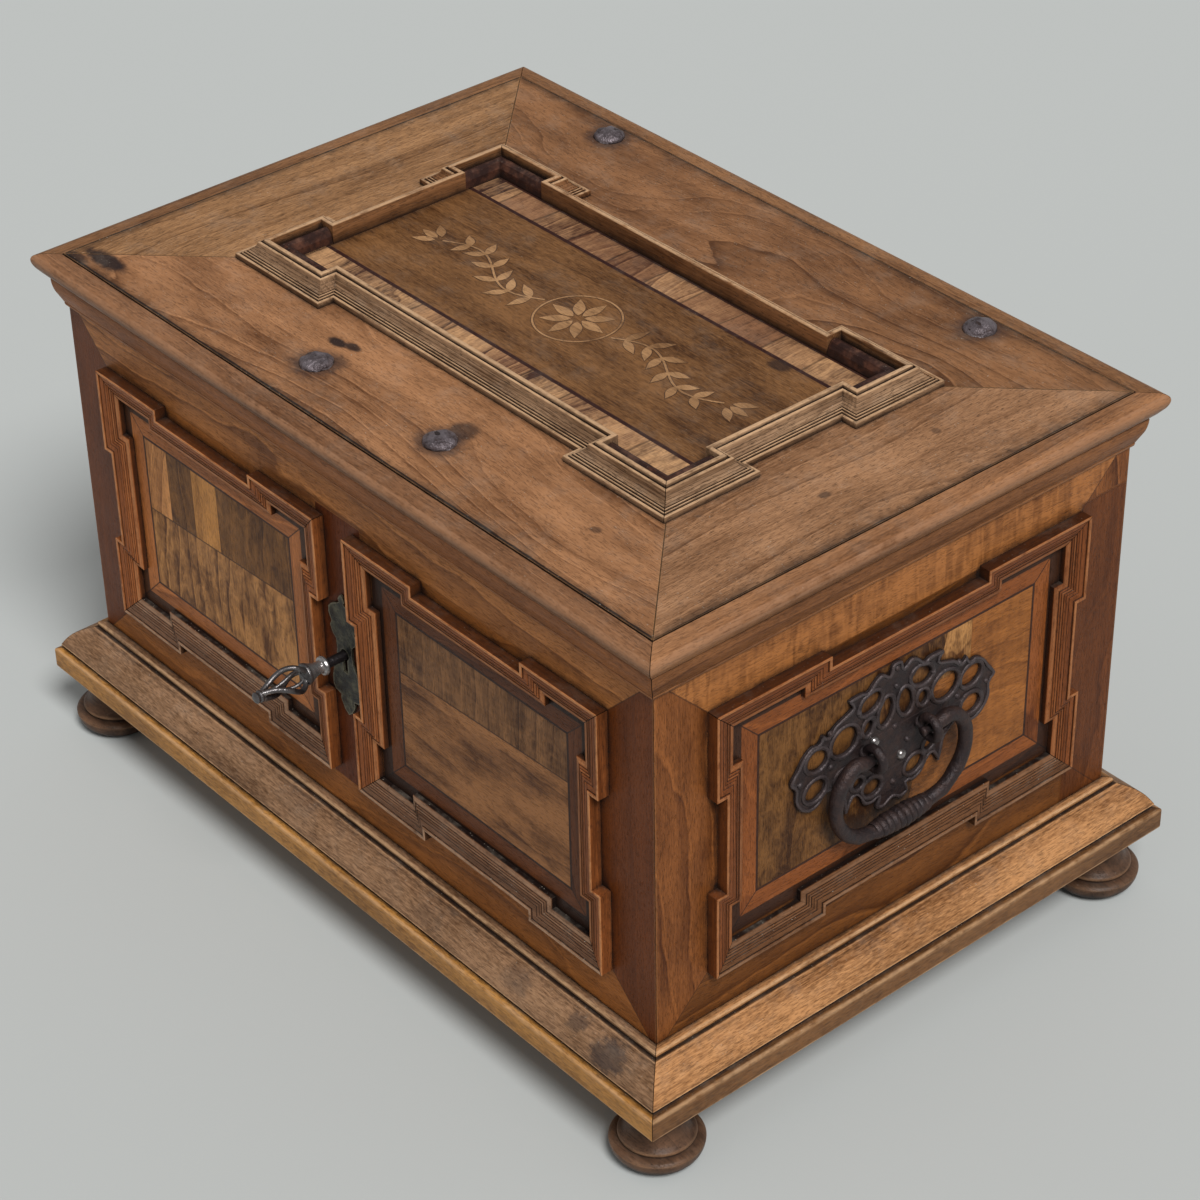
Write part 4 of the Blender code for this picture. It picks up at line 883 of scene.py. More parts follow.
# %% Wall mouldings
wall_gap = 0.0003
frame_rise, frame_width = 0.0070, 0.0135
frame_rows = [
    (0.0, 0.0, 0.0), (0.0, 0.955, 0.9), (0.0, 0.985, 1.0), (0.012, 1.0, 1.0), (0.05, 1.0, 1.0),
    (0.105, 0.985, 0.95), (0.12, 0.95, 0.6), (0.13, 0.86, 0.0), (0.155, 0.85, 0.0), (0.17, 0.89, 0.5),
    (0.25, 0.87, 0.6), (0.34, 0.82, 0.5), (0.355, 0.78, 0.0), (0.375, 0.78, 0.0), (0.385, 0.805, 0.5),
    (0.46, 0.77, 0.65), (0.475, 0.73, 0.1), (0.495, 0.73, 0.1), (0.505, 0.745, 0.5), (0.56, 0.70, 0.6),
    (0.575, 0.64, 0.0), (0.60, 0.63, 0.0), (0.61, 0.685, 0.6), (0.66, 0.65, 0.8), (0.675, 0.60, 0.0),
    (0.695, 0.60, 0.1), (0.705, 0.62, 0.5), (0.75, 0.57, 0.7), (0.765, 0.50, 0.0), (0.79, 0.49, 0.0),
    (0.80, 0.54, 0.6), (0.86, 0.50, 0.85), (0.95, 0.45, 0.75), (0.98, 0.43, 0.8), (1.0, 0.40, 0.4),
    (1.0, 0.30, 0.0), (1.0, 0.0, 0.0),
]


def frame_profile(ledge):
    """The section of the wall mouldings; ledge is how clean the outer face is."""
    rows = [(0.0, 0.0, ledge * 0.6), (0.0, 0.90, ledge)] + frame_rows[1:]
    return [(u * frame_width, h * frame_rise, c) for u, h, c in rows]


frame_low, frame_high = 0.0270, 0.1855
ear_tall, ear_jut = 0.0500, 0.0065


def on_front(a, b, height):
    return a, -half_y - wall_gap - height, b


def on_right(a, b, height):
    return half_x + wall_gap + height, a, b


def on_left(a, b, height):
    return -half_x - wall_gap - height, a, b


front_stick = {
    "worn": srgb(206, 142, 92), "tones": tones(94, 57, 37, front_lamp), "dusty": srgb(184, 146, 116),
    "sill": tones(84, 61, 47, 0.55),
}
right_stick = {
    "worn": srgb(176, 116, 72), "tones": tones(106, 62, 38, right_lamp), "dusty": srgb(146, 108, 80),
    "sill": tones(88, 60, 42, right_lamp),
}
ledges, upright_ledge = {"top": 0.02, "bottom": 0.25}, 0.34
front_names, side_names = ("bottom", "right", "top", "left"), ("bottom", "back", "top", "front")
wall_frames = (
    ("front_left_frame", -0.208, -0.012, 0.0560, on_front, front_names, front_stick),
    ("front_right_frame", 0.012, 0.208, 0.0560, on_front, front_names, front_stick),
    ("right_side_frame", -0.126, 0.126, 0.0730, on_right, side_names, right_stick),
    ("left_side_frame", -0.126, 0.126, 0.0730, on_left, side_names, right_stick),
)
for number, (frame_name, start, end, ear_wide, put, names, look) in enumerate(wall_frames):
    line = eared((start, frame_low), (end, frame_high), ear_wide, ear_tall, ear_jut)
    for side, side_name in enumerate(names):
        grain = "z" if side_name not in ("bottom", "top") else "x" if put is on_front else "y"
        name = f"ridged_{frame_name}_{side_name}"
        piece = mitred_stick(name, line, side, frame_profile(ledges.get(side_name, upright_ledge)), put)
        kind = ("sill", "dusty", 0.8, 1.0) if side_name == "bottom" else ("tones", "worn", 0.3, 0.75)
        base, worn, dust, depth = look[kind[0]], look[kind[1]], *kind[2:]
        finish = moulding(name, grain, *base, worn, number + 0.31 * side, dust, depth=depth)
        hand_over(piece, finish, "carcass", "walnut_moulding", f"{frame_name}_{side_name}")
print("wall mouldings:", sum(len(row[5]) for row in wall_frames))

# %% [markdown]
# ## The veneered walls
#
# The carcass is plain timber under a skin of veneers: rails and stiles with mitred corners outside the
# mouldings, and inside each moulding a red-brown band, a dark line and a field pieced from burr and
# straight walnut. All of that is flush, so it is colour and not geometry. Each region picks its own
# direction of grain and its own pair of colours, and then one walnut figure draws them all.

# %% One wall's veneer
frame_middle_z, frame_half_z = (frame_low + frame_high) / 2, (frame_high - frame_low) / 2
veneer_skin = 0.0006
sunk_colour = srgb(30, 20, 16)


class Veneer:
    """One wall's veneer: regions laid over one another, drawn by a single walnut figure."""

    def __init__(self, name, seed, along):
        self.material, self.tree, self.place = new_material(name)
        self.seed, self.along = seed, along
        self.vector = None
        self.lines = []

    def lay(self, mask, grain, light, dark, curl=0.0, mottle=0.6, burr=0.0, rings=0.7):
        """Lays a veneer where the mask is 1; the first one covers everything."""
        tree = self.tree
        self.seed += 1.3
        vector = turned_grain(tree, self.place, grain, self.seed)
        amounts = {"Curl": curl, "Mottle": mottle, "Burr": burr, "Lines": rings}
        if self.vector is None:
            self.vector, self.light, self.dark, self.amounts = vector, light, dark, amounts
            return
        blend = node(tree, "Mix", {0: mask, 4: self.vector, 5: vector}, data_type="VECTOR")
        self.vector = blend.outputs[1]
        self.light = mixed(tree, mask, self.light, light)
        self.dark = mixed(tree, mask, self.dark, dark)
        for name, amount in amounts.items():
            inputs = {0: mask, 2: self.amounts[name], 3: amount}
            self.amounts[name] = node(tree, "Mix", inputs).outputs[0]

    def timber(self, inside):
        """Behind the veneer, where the mask is 1, the wall is plain timber without lines."""
        self.lay(inside, self.along, srgb(176, 130, 86), srgb(120, 80, 50), 0.0, 0.6, 0.0)
        self.skin = minus(self.tree, 1.0, inside)

    def line(self, mask, colour, strength=1.0):
        self.lines.append((mask, colour, strength))

    def finish(self, figure, **finish):
        tree = self.tree
        wood = walnut(tree, self.vector, self.light, self.dark, {**self.amounts, **figure})
        colour = wood["Color"]
        for mask, paint, strength in self.lines:
            share = times(tree, times(tree, mask, self.skin), strength)
            colour = mixed(tree, share, colour, paint)
        wood_finish(tree, self.place, colour, wood["Height"], **finish)
        return self.material

# %% Regions of a wall


def both(tree, *masks):
    result = masks[0]
    for mask in masks[1:]:
        result = times(tree, result, mask)
    return result


line_colour = srgb(44, 26, 20)


def panel_regions(veneer, a, z, centre_a, half_a, centre_z, half_z, band_light, band_dark):
    """The band and dark line round one field; returns the mask of the field."""
    tree = veneer.tree
    inner = use(tree, rectangle_group, {
        "A": a, "B": z, "Centre A": centre_a, "Centre B": centre_z, "Half A": half_a, "Half B": half_z,
    })
    border = step(tree, inner["Distance"], 0.0200, 0.0196)
    veneer.lay(border, veneer.along, band_light, band_dark)
    veneer.lay(both(tree, border, inner["Upright"]), "z", band_light, band_dark)
    beyond = inner["Distance"]
    veneer.line(both(tree, border, inner["Mitre"], step(tree, beyond, 0.0, 0.0002)), line_colour, 0.8)
    field = step(tree, beyond, 0.0001, -0.0001)
    string = both(tree, step(tree, beyond, -0.0001, 0.0001), step(tree, beyond, 0.0016, 0.0013))
    veneer.line(string, line_colour, 0.9)
    sunk = both(tree, step(tree, beyond, 0.0113, 0.0119), step(tree, beyond, 0.0205, 0.0195))
    veneer.line(sunk, sunk_colour, 0.85)
    return field


def outer_regions(veneer, a, z, half_a, stile_light, stile_dark, rings):
    """Stiles beyond the mouldings, mitred into the rails."""
    tree = veneer.tree
    outer = use(tree, rectangle_group, {
        "A": a, "B": z, "Centre B": frame_middle_z, "Half A": half_a, "Half B": frame_half_z,
    })
    veneer.lay(outer["Upright"], "z", stile_light, stile_dark, 0.0, 0.9, 0.0, rings)
    outside = step(tree, outer["Distance"], 0.0, 0.0003)
    veneer.line(both(tree, outside, outer["Mitre"]), line_colour, 0.55)


def box_mask(veneer, a, z, low_a, high_a, low_z, high_z):
    """1 inside a rectangle of the wall."""
    tree = veneer.tree
    inner = use(tree, rectangle_group, {
        "A": a, "B": z, "Centre A": (low_a + high_a) / 2, "Centre B": (low_z + high_z) / 2,
        "Half A": (high_a - low_a) / 2, "Half B": (high_z - low_z) / 2,
    })
    return step(tree, inner["Distance"], 0.0002, -0.0002)


print("a wall's frames run from", frame_low, "to", frame_high)

# %% [markdown]
# ## The front and the sides
#
# Each wall's list of veneers is read off the photograph: plain rails, darker stiles, and fields pieced from
# unlike offcuts. The left side copies the right with another run of the grain.

# %% Front wall
# The walls get strong occlusion darkening: grime, and painted shade along the mouldings.
wall_finish = dict(wear=0.12, wear_reach=0.0009, grime=1.4, grime_reach=0.012, dust=0.1, roughness=0.40)


def front(red, green, blue, spread=0.5):
    return tones(red, green, blue, front_lamp, spread)


def front_material():
    veneer = Veneer("front_veneer", 0.5, "x")
    tree = veneer.tree
    x, y, z = parted(tree, veneer.place)
    veneer.lay(1.0, "x", *front(98, 62, 37))
    veneer.lay(step(tree, z, frame_high, frame_high + 0.0010), "x", *front(112, 74, 46), 0.1, 0.9)
    outer_regions(veneer, x, z, 0.208, *front(72, 43, 30, 0.35), 0.3)
    centre = box_mask(veneer, x, z, -0.0185, 0.0185, 0.020, 0.1905)
    veneer.lay(centre, "z", *front(66, 39, 28), 0.0, 0.6, 0.0, 0.3)
    left = panel_regions(veneer, x, z, -0.1115, 0.0655, 0.107, 0.047, *front(112, 70, 43))
    right_field = panel_regions(veneer, x, z, 0.1115, 0.0655, 0.107, 0.047, *front(66, 42, 31))
    joint = times_plus(tree, x, 0.045, 0.1170)
    upper = step(tree, minus(tree, z, joint), -0.0002, 0.0002)
    veneer.lay(left, "z", *front(104, 73, 46, 0.65), 0.1, 1.4, 1.1)
    veneer.lay(both(tree, left, upper), "z", *front(78, 54, 35, 0.6), 0.0, 1.1, 0.9)
    for start, end, colour, mottle, burr in (
        (-0.180, -0.157, (124, 85, 53), 0.9, 0.2), (-0.134, -0.111, (116, 80, 46), 1.1, 0.4),
    ):
        patch = both(tree, left, upper, box_mask(veneer, x, z, start, end, 0.09, 0.16))
        veneer.lay(patch, "z", *front(*colour), 0.2, mottle, burr)
    veneer.lay(right_field, "x", *front(90, 62, 42, 0.6), 0.1, 1.6, 0.4)
    veneer.lay(both(tree, right_field, upper), "z", *front(80, 57, 40, 0.6), 0.5, 1.3, 0.7)
    seam = step(tree, size_of(tree, minus(tree, z, joint)), 0.0006, 0.0003)
    fields = calc(tree, "MAXIMUM", left, right_field)
    veneer.line(both(tree, seam, fields), line_colour, 0.7)
    veneer.timber(step(tree, y, -half_y + veneer_skin, -half_y + veneer_skin + 0.0002))
    figure = dict(Ring=0.011, Waves=3.0, Streaks=0.6, Pores=0.35, Patch=2.2, Nap=0.25)
    return veneer.finish(figure, **wall_finish)

# %% Side walls


def by_side(red, green, blue, spread=0.5):
    return tones(red, green, blue, right_lamp, spread)


def side_material(name, seed):
    veneer = Veneer(name, seed, "y")
    tree = veneer.tree
    x, y, z = parted(tree, veneer.place)
    veneer.lay(1.0, "y", *by_side(100, 63, 37), 0.0, 0.9, 0.0, 1.0)
    veneer.lay(step(tree, z, 0.183, 0.184), "y", *by_side(130, 84, 50, 0.5), 1.0, 0.9)
    outer_regions(veneer, y, z, 0.126, *by_side(112, 69, 41, 0.6), 0.9)
    far = both(tree, step(tree, y, 0.125, 0.127), step(tree, z, 0.19, 0.188))
    veneer.lay(far, "z", *by_side(88, 52, 33))
    field = panel_regions(veneer, y, z, 0.0, 0.093, 0.1085, 0.0465, *by_side(118, 69, 40))
    veneer.lay(field, "z", *by_side(92, 63, 39, 0.6), 0.3, 1.4, 1.3)
    joint = times_plus(tree, z, 0.25, -0.006)
    beyond = both(tree, field, step(tree, minus(tree, y, joint), -0.0002, 0.0002))
    veneer.lay(beyond, "y", *by_side(130, 82, 45, 0.4), 0.4, 1.1, 0.4)
    pale = both(tree, beyond, box_mask(veneer, y, z, 0.016, 0.050, 0.128, 0.16))
    veneer.lay(pale, "z", *by_side(138, 98, 60, 0.65), 0.3, 1.6, 0.8)
    veneer.timber(step(tree, size_of(tree, x), half_x - veneer_skin, half_x - veneer_skin - 0.0002))
    figure = dict(Ring=0.012, Waves=4.0, Streaks=0.55, Pores=0.3, Patch=2.2, Nap=0.3)
    return veneer.finish(figure, **wall_finish)

# %% Dress the walls
dress(front_material(), "front_board")
dress(side_material("right_veneer", 7.0), "right_board")
dress(side_material("left_veneer", 13.0), "left_board")
dress(plain_walnut("back_wall", "x", *tones(110, 72, 45, 0.7), 6.0, front_figure, dust=0.1), "back_board")
dress(plain_walnut(
    "inside_floor", "x", srgb(196, 154, 104), srgb(146, 104, 64), 8.0,
    dict(Ring=0.012, Waves=3.0, Lines=0.5, Streaks=0.4, Pores=0.1, Mottle=0.5),
    wear=0.0, grime_reach=0.03, dust=0.6, roughness=0.75,
), "bottom_board")

print("materials so far:", len(bpy.data.materials))

# %% [markdown]
# ## Plinth and feet
#
# The plinth's broad cushion faces up: it is rubbed pale along its middle and darker at its edges. The band
# under it is golden on the front, and dark lines of dirt lie in the grooves between. The section goes on
# inwards as a tongue, which carries the walls. The bun feet are turned, dark, and worn at their edges.

# %% Plinth
plinth_out, plinth_tall = 0.0241, 0.0336
plinth_rows = [
    (0.012, 0.0, 0.2), (0.08, 0.0, 0.35), (0.14, 0.0, 0.6), (0.175, 0.012, 0.95), (0.195, 0.04, 0.9),
    (0.19, 0.08, 0.4), (0.17, 0.11, 0.0), (0.18, 0.125, 0.0), (0.25, 0.118, 0.2), (0.27, 0.125, 0.8),
]
cushion_steps, cushion_bulge = 12, 0.05
for i in range(cushion_steps + 1):
    share = i / cushion_steps
    swell = cushion_bulge * math.sin(math.pi * share)
    rubbed_pale = 0.62 - 0.34 * abs(2 * share - 1) ** 2.5
    plinth_rows.append((0.33 + 0.53 * share + swell, 0.14 + 0.36 * share - swell * 0.7, rubbed_pale))
plinth_rows += [
    (0.875, 0.52, 1.0), (0.86, 0.53, 0.8), (0.82, 0.535, 0.0), (0.82, 0.58, 0.0), (0.86, 0.595, 0.3),
    (0.955, 0.603, 0.8), (0.99, 0.617, 0.85), (1.0, 0.64, 0.8), (1.0, 0.68, 0.65), (1.0, 0.94, 0.62),
    (0.995, 0.975, 0.95), (0.97, 1.0, 0.7), (-1.08, 1.0, 0.5), (-1.08, 0.417, 0.5), (0.012, 0.417, 0.5),
]
plinth_profile = [(-out * plinth_out, -down * plinth_tall, crest) for out, down, crest in plinth_rows]
far_cushion, far_band = tones(120, 88, 60, 0.85), tones(112, 80, 54, 0.8)
plinth_tones = {
    "front": tones(124, 95, 72, 0.80), "right": tones(158, 113, 75, 0.92), "back": far_cushion,
    "left": far_cushion,
}
band_tones = {
    "front": tones(116, 82, 46, 0.45), "right": tones(94, 65, 43, right_lamp), "back": far_band,
    "left": far_band,
}
plinth_figure = dict(Ring=0.012, Waves=1.2, Lines=0.3, Streaks=0.6, Pores=0.3, Mottle=1.2, Patch=1.3, Nap=1.0)
for number, name in enumerate(sides):
    piece = mitred_stick("moulded_plinth_" + name, wall_line, number, plinth_profile, lying)
    finish = moulding(
        "plinth_" + name, side_grain[name], *plinth_tones[name], srgb(206, 164, 122), 1.1 * number + 0.2,
        0.4, plinth_figure, plinth_stains, band={"top": -plinth_tall * 0.56, "tones": band_tones[name]},
    )
    hand_over(piece, finish, "carcass", "walnut_plinth", "plinth_" + name)

print("plinth section:", len(plinth_rows), "points")

# %% Feet
foot_radius, foot_tall, foot_top = 0.0245, 0.0360, -0.0339
foot_shares = [
    (0.0, 0.0), (0.66, 0.0), (0.655, 0.03), (0.615, 0.08), (0.60, 0.16), (0.602, 0.28), (0.62, 0.38),
    (0.655, 0.465), (0.70, 0.53), (0.755, 0.565), (0.80, 0.585), (0.818, 0.60), (0.822, 0.618),
    (0.812, 0.636), (0.77, 0.648), (0.762, 0.655), (0.78, 0.664), (0.86, 0.668), (0.93, 0.675),
    (0.965, 0.69),
]
bun_steps, bun_middle, sole_radius = 10, 0.72, 0.0150
foot_profile = [(wide * foot_radius, -down * foot_tall) for wide, down in foot_shares]
for i in range(bun_steps + 1):
    turn = math.pi / 2 * i / bun_steps
    foot_profile.append((
        sole_radius + (foot_radius - sole_radius) * math.cos(turn),
        -foot_tall * (bun_middle + (1 - bun_middle) * math.sin(turn)),
    ))
foot_profile.append((0.0, -foot_tall))
foot_material = plain_walnut(
    "foot", "x", srgb(110, 80, 60), srgb(36, 27, 23), 2.0,
    dict(Ring=0.005, Waves=2.0, Lines=0.3, Streaks=0.6, Pores=0.4, Mottle=1.0, Patch=3.0),
    wear=0.8, wear_reach=0.002, worn=srgb(170, 130, 96), grime_reach=0.012, dust=0.2, roughness=0.38,
)
corners = (("front_left", -1, -1), ("front_right", 1, -1), ("back_right", 1, 1), ("back_left", -1, 1))
for name, x, y in corners:
    tool = bmesh.new()
    turned(tool, foot_profile, 72, Matrix.Translation(world(x * half_x, y * half_y, foot_top)))
    hand_over(as_piece("bun_foot_" + name, tool), foot_material, "carcass", "walnut_dark", "foot_" + name)

print("foot", round(foot_radius * 2, 4), "across")

# %% [markdown]
# ## Iron and steel
#
# Forged iron keeps a brown-black skin of old oxide. It is rough, a little lumpy from the hammer, and
# bright only where hands rub it. The key is steel and shows more of its metal; its collar is painted
# brighter still, partly as rubbed metal and partly as a painted highlight. Where its shank enters the
# lock it stays black.

# %% Metals
collar_start, collar_end = 0.0136, 0.0262


def forged(name, skin, rust, bright, roughness, shine, lump_rise, wear=0.5, brightened_from=None):
    """Iron with a dark skin, rust patches and bright edges; brightened_from is a depth in front of the wall.
    """
    material, tree, place = new_material(name)
    patches = noise(tree, place, 130.0, 4.0, 0.65)
    colour = mixed(tree, step(tree, patches, 0.35, 0.7), skin, rust)
    fine = noise(tree, place, 700.0, 3.0, 0.6)
    colour = mixed(tree, step(tree, fine, 0.45, 0.8), colour, skin)
    mask = use(tree, wear_group, {"Place": place, "Reach": 0.0012, "Amount": wear})["Mask"]
    # In front of that depth the key is painted brighter, most on its collar: partly rubbed metal, partly a
    # painted highlight.
    if brightened_from:
        ahead = times_plus(tree, parted(tree, place)[1], -1.0, -half_y)
        rubbed_and_highlight = step(tree, ahead, brightened_from, brightened_from + 0.0004)
        rubbed_and_highlight = times(tree, rubbed_and_highlight, step(tree, patches, 0.75, 0.45))
        share = times_plus(tree, step(tree, ahead, collar_end, collar_end - 0.0017), 0.55, 0.2)
        mask = calc(tree, "MAXIMUM", mask, times(tree, rubbed_and_highlight, share))
    colour = mixed(tree, mask, colour, bright)
    # Ambient occlusion darkens the iron's hollows: dirt, and painted shade.
    dirt_and_shade = use(tree, grime_and_shade_group, {"Place": place, "Reach": 0.004, "Amount": 0.8})["Mask"]
    colour = mixed(tree, dirt_and_shade, colour, srgb(26, 20, 19))
    shader = tree.nodes["Principled BSDF"]
    feed(tree, shader.inputs["Base Color"], colour)
    rough = times_plus(tree, patches, 0.3, roughness - 0.15)
    feed(tree, shader.inputs["Roughness"], times_plus(tree, mask, -0.1, rough, clamp=True))
    shader.inputs["Metallic"].default_value = shine
    height = times_plus(tree, fine, 0.45, patches)
    relief = node(tree, "Bump", {"Strength": 0.7, "Distance": lump_rise, "Height": height})
    feed(tree, shader.inputs["Normal"], relief.outputs[0])
    return material


iron = forged("forged_iron", srgb(44, 35, 36), srgb(66, 48, 43), srgb(96, 86, 87), 0.52, 0.45, 0.0015)
green_iron = forged(
    "plate_iron", srgb(20, 22, 20), srgb(92, 90, 72), srgb(128, 122, 102), 0.5, 0.3, 0.0016, 0.9,
)
nail_iron = forged(
    "nail_iron", srgb(126, 116, 120), srgb(60, 49, 50), srgb(196, 188, 192), 0.46, 0.6, 0.0022, 0.8,
)
steel = forged(
    "key_steel", srgb(58, 53, 55), srgb(40, 34, 34), srgb(182, 178, 176), 0.36, 0.8, 0.0008, 0.5,
    collar_start,
)
bright = forged(
    "rubbed_iron", srgb(176, 170, 168), srgb(120, 112, 110), srgb(220, 216, 212), 0.25, 0.9, 0.0002,
)
dress(iron, "hinge_strap_left", "hinge_strap_right", "hinge_leaf_left", "hinge_leaf_right", "lock_case")
dress(iron, "lock_bolt", "lock_keeper")
dress(green_iron, "escutcheon")

print("metals:", iron.name, green_iron.name, nail_iron.name, steel.name, bright.name)

# %% [markdown]
# ## Nails through the lid
#
# Four nails hold the hinges and the keeper from above. Each head was struck into shape on the anvil, so
# it is a low dome with flats and hollows, never a clean one.

# %% Nail heads
cap_radius, cap_rise, cap_steps = 0.0088, 0.0046, 8
cap_profile = [
    (cap_radius * math.sin(turn), cap_rise * math.cos(turn) ** 0.8)
    for turn in (math.pi / 2 * i / cap_steps for i in range(cap_steps + 1))
] + [(cap_radius * 0.96, -0.0003), (0.0, -0.0003)]
for number, (x, y) in enumerate(nail_places):
    tool = bmesh.new()
    turned(tool, cap_profile, 40, Matrix.Translation(world(x, y, lid_top)))
    hammered(tool, 0.0042, 0.0009)
    hand_over(as_piece(f"hammered_nail_{number}", tool, 60), nail_iron, "lid", "iron")

print("nail heads:", len(nail_places))

# %% [markdown]
# ## Side handles
#
# Each handle hangs from two eyes in front of a pierced plate. The plate was cut from sheet and its
# scrolls filed half round, so here a thin pierced sheet carries a round bar along every edge. The bail
# is a forged rod: thin where it passes the eyes, thick below, with a grip of rolled ribs.

# %% Outline and openings of a plate
plate_middle = (-0.0035, 0.1125)
plate_half = (0.0705, 0.0435)
sheet_thickness = 0.0013
plate_edge = (
    (0.0, 1.0), (0.05, 0.97), (0.07, 0.86), (0.13, 0.93), (0.20, 0.90), (0.27, 0.79), (0.33, 0.82),
    (0.46, 0.80), (0.42, 0.68), (0.50, 0.62), (0.58, 0.57), (0.65, 0.47), (0.70, 0.54), (0.73, 0.44),
    (0.80, 0.45), (0.88, 0.36), (0.93, 0.24), (1.0, 0.08), (0.95, -0.04), (0.95, -0.20), (0.90, -0.36),
    (0.81, -0.45), (0.72, -0.42), (0.66, -0.30), (0.57, -0.37), (0.50, -0.50), (0.46, -0.78), (0.39, -0.60),
    (0.33, -0.66), (0.28, -0.80), (0.20, -0.84), (0.14, -0.81), (0.16, -0.95), (0.08, -1.0), (0.0, -0.93),
)
plate_openings = (
    (0.0530, 0.0098, 0.0070, 0.0060, 20), (0.0536, -0.0080, 0.0068, 0.0058, -15),
    (0.0345, 0.0122, 0.0086, 0.0080, 0), (0.0175, 0.0268, 0.0072, 0.0052, -22),
    (0.0068, 0.0165, 0.0045, 0.0082, 10), (0.0146, -0.0262, 0.0060, 0.0050, 20),
    (0.0335, -0.0105, 0.0064, 0.0050, 10), (0.0248, -0.0186, 0.0036, 0.0032, 35),
    (0.0188, 0.0128, 0.0030, 0.0044, 15),
)
plate_beads = (
    (0.0, 0.0395), (0.0435, 0.0010), (0.0640, 0.0005), (0.0255, 0.0250), (0.0, 0.0040), (0.0235, -0.0095),
    (0.0, -0.0300), (0.0440, 0.0215), (0.0, 0.0285), (0.0090, -0.0080),
)

# %% Helpers for the plates


def ellipse(middle_a, middle_b, radius_a, radius_b, degrees, steps=28):
    lean = math.radians(degrees)
    spots = []
    for i in range(steps):
        turn = math.tau * i / steps
        a, b = radius_a * math.cos(turn), radius_b * math.sin(turn)
        out, up_by = a * math.cos(lean) - b * math.sin(lean), a * math.sin(lean) + b * math.cos(lean)
        spots.append((middle_a + out, middle_b + up_by))
    return spots


def moved_in(loop, distance):
    """A closed line that runs clockwise, moved to its right, which is inwards."""
    moved = []
    for i, spot in enumerate(loop):
        along = (Vector(loop[(i + 1) % len(loop)]) - Vector(loop[i - 1])).normalized()
        moved.append((spot[0] + along.y * distance, spot[1] - along.x * distance))
    return moved


def on_side(sign):
    """The matrix that stands (y, z, outwards) up against the right or the left wall."""
    return Matrix.Translation(world(sign * (half_x + wall_gap), 0, 0)) @ Matrix((
        (0, 0, sign, 0), (1, 0, 0, 0), (0, 1, 0, 0), (0, 0, 0, 1),
    ))


def pierced_sheet(tool, loops, thickness, matrix):
    """A flat sheet with holes, filled from drawn curves."""
    drawn = bpy.data.curves.new("sheet", "CURVE")
    drawn.dimensions, drawn.fill_mode, drawn.extrude = "2D", "BOTH", thickness / 2
    for loop in loops:
        spline = drawn.splines.new("POLY")
        spline.points.add(len(loop) - 1)
        spline.use_cyclic_u = True
        for point, (a, b) in zip(spline.points, loop):
            point.co = (a, b, 0, 1)
    holder = bpy.data.objects.new("sheet", drawn)
    bpy.context.scene.collection.objects.link(holder)
    filled = bpy.data.meshes.new_from_object(holder.evaluated_get(bpy.context.evaluated_depsgraph_get()))
    bpy.data.objects.remove(holder)
    filled.transform(matrix @ Matrix.Translation((0, 0, thickness / 2)))
    tool.from_mesh(filled)
    bpy.data.meshes.remove(filled)

# %% Cut and file the plates
half_edge = [(a * plate_half[0], b * plate_half[1]) for a, b in plate_edge]
whole_edge = half_edge + [(-a, b) for a, b in reversed(half_edge[1:-1])]
whole_edge = [(spot.x, spot.y) for spot in smooth_line(whole_edge, 3, closed=True)]
openings, opening_bars = [], []
for a, b, radius_a, radius_b, degrees in plate_openings:
    for side in (-1, 1):
        openings.append(ellipse(side * a, b, radius_a, radius_b, side * degrees))
        opening_bars.append(ellipse(side * a, b, radius_a + 0.0012, radius_b + 0.0012, side * degrees))
bead_profile = [(0.0, 0.0016), (0.0009, 0.0013), (0.0015, 0.0006), (0.0017, -0.0004), (0.0, -0.0004)]
dome_profile = [
    (0.0, 0.0026), (0.0012, 0.0024), (0.0022, 0.0018), (0.0029, 0.0008), (0.0030, -0.0002), (0.0, -0.0002),
]
for name, sign in (("right", 1), ("left", -1)):
    stand = on_side(sign) @ Matrix.Translation((*plate_middle, 0))
    outward = Vector((sign, 0, 0))
    tool = bmesh.new()
    pierced_sheet(tool, [moved_in(whole_edge, 0.0004)] + openings, sheet_thickness, stand)
    for number, loop in enumerate([moved_in(whole_edge, 0.0011)] + opening_bars):
        spots = [stand @ Vector((a, b, sheet_thickness)) for a, b in loop]
        swell = [lumps.noise(Vector((i * 0.35, number, 0))) for i in range(len(loop))]
        radii = [(0.0010 if number == 0 else 0.0013) * (1 + 0.22 * value) for value in swell]
        bar(tool, spots, radii, 10, outward, 0.95, closed=True)
    for a, b in plate_beads:
        for side in (-1, 1) if a else (1,):
            turned(tool, bead_profile, 14, stand @ Matrix.Translation((side * a, b, sheet_thickness)))
    hammered(tool, 0.0060, 0.0004)
    hand_over(as_piece("scrolled_plate_" + name, tool, 50), iron, "carcass", "iron", "handle_plate_" + name)
    tool = bmesh.new()
    for share_a, share_b in ((0.07, -0.36), (-0.20, 0.04)):
        spot = (share_a * plate_half[0], share_b * plate_half[1], sheet_thickness)
        turned(tool, dome_profile, 24, stand @ Matrix.Translation(spot))
    hand_over(as_piece("plate_nails_" + name, tool, 60), bright, "carcass", "steel")

print("openings in a plate:", len(openings))

# %% [markdown]
# ## Eyes and bails
#
# A bail is one rod, drawn along half its line and mirrored. Each point of the line carries a radius, so one
# sweep gives the thin neck that turns in the eye, the arm, and the ribs of the grip.

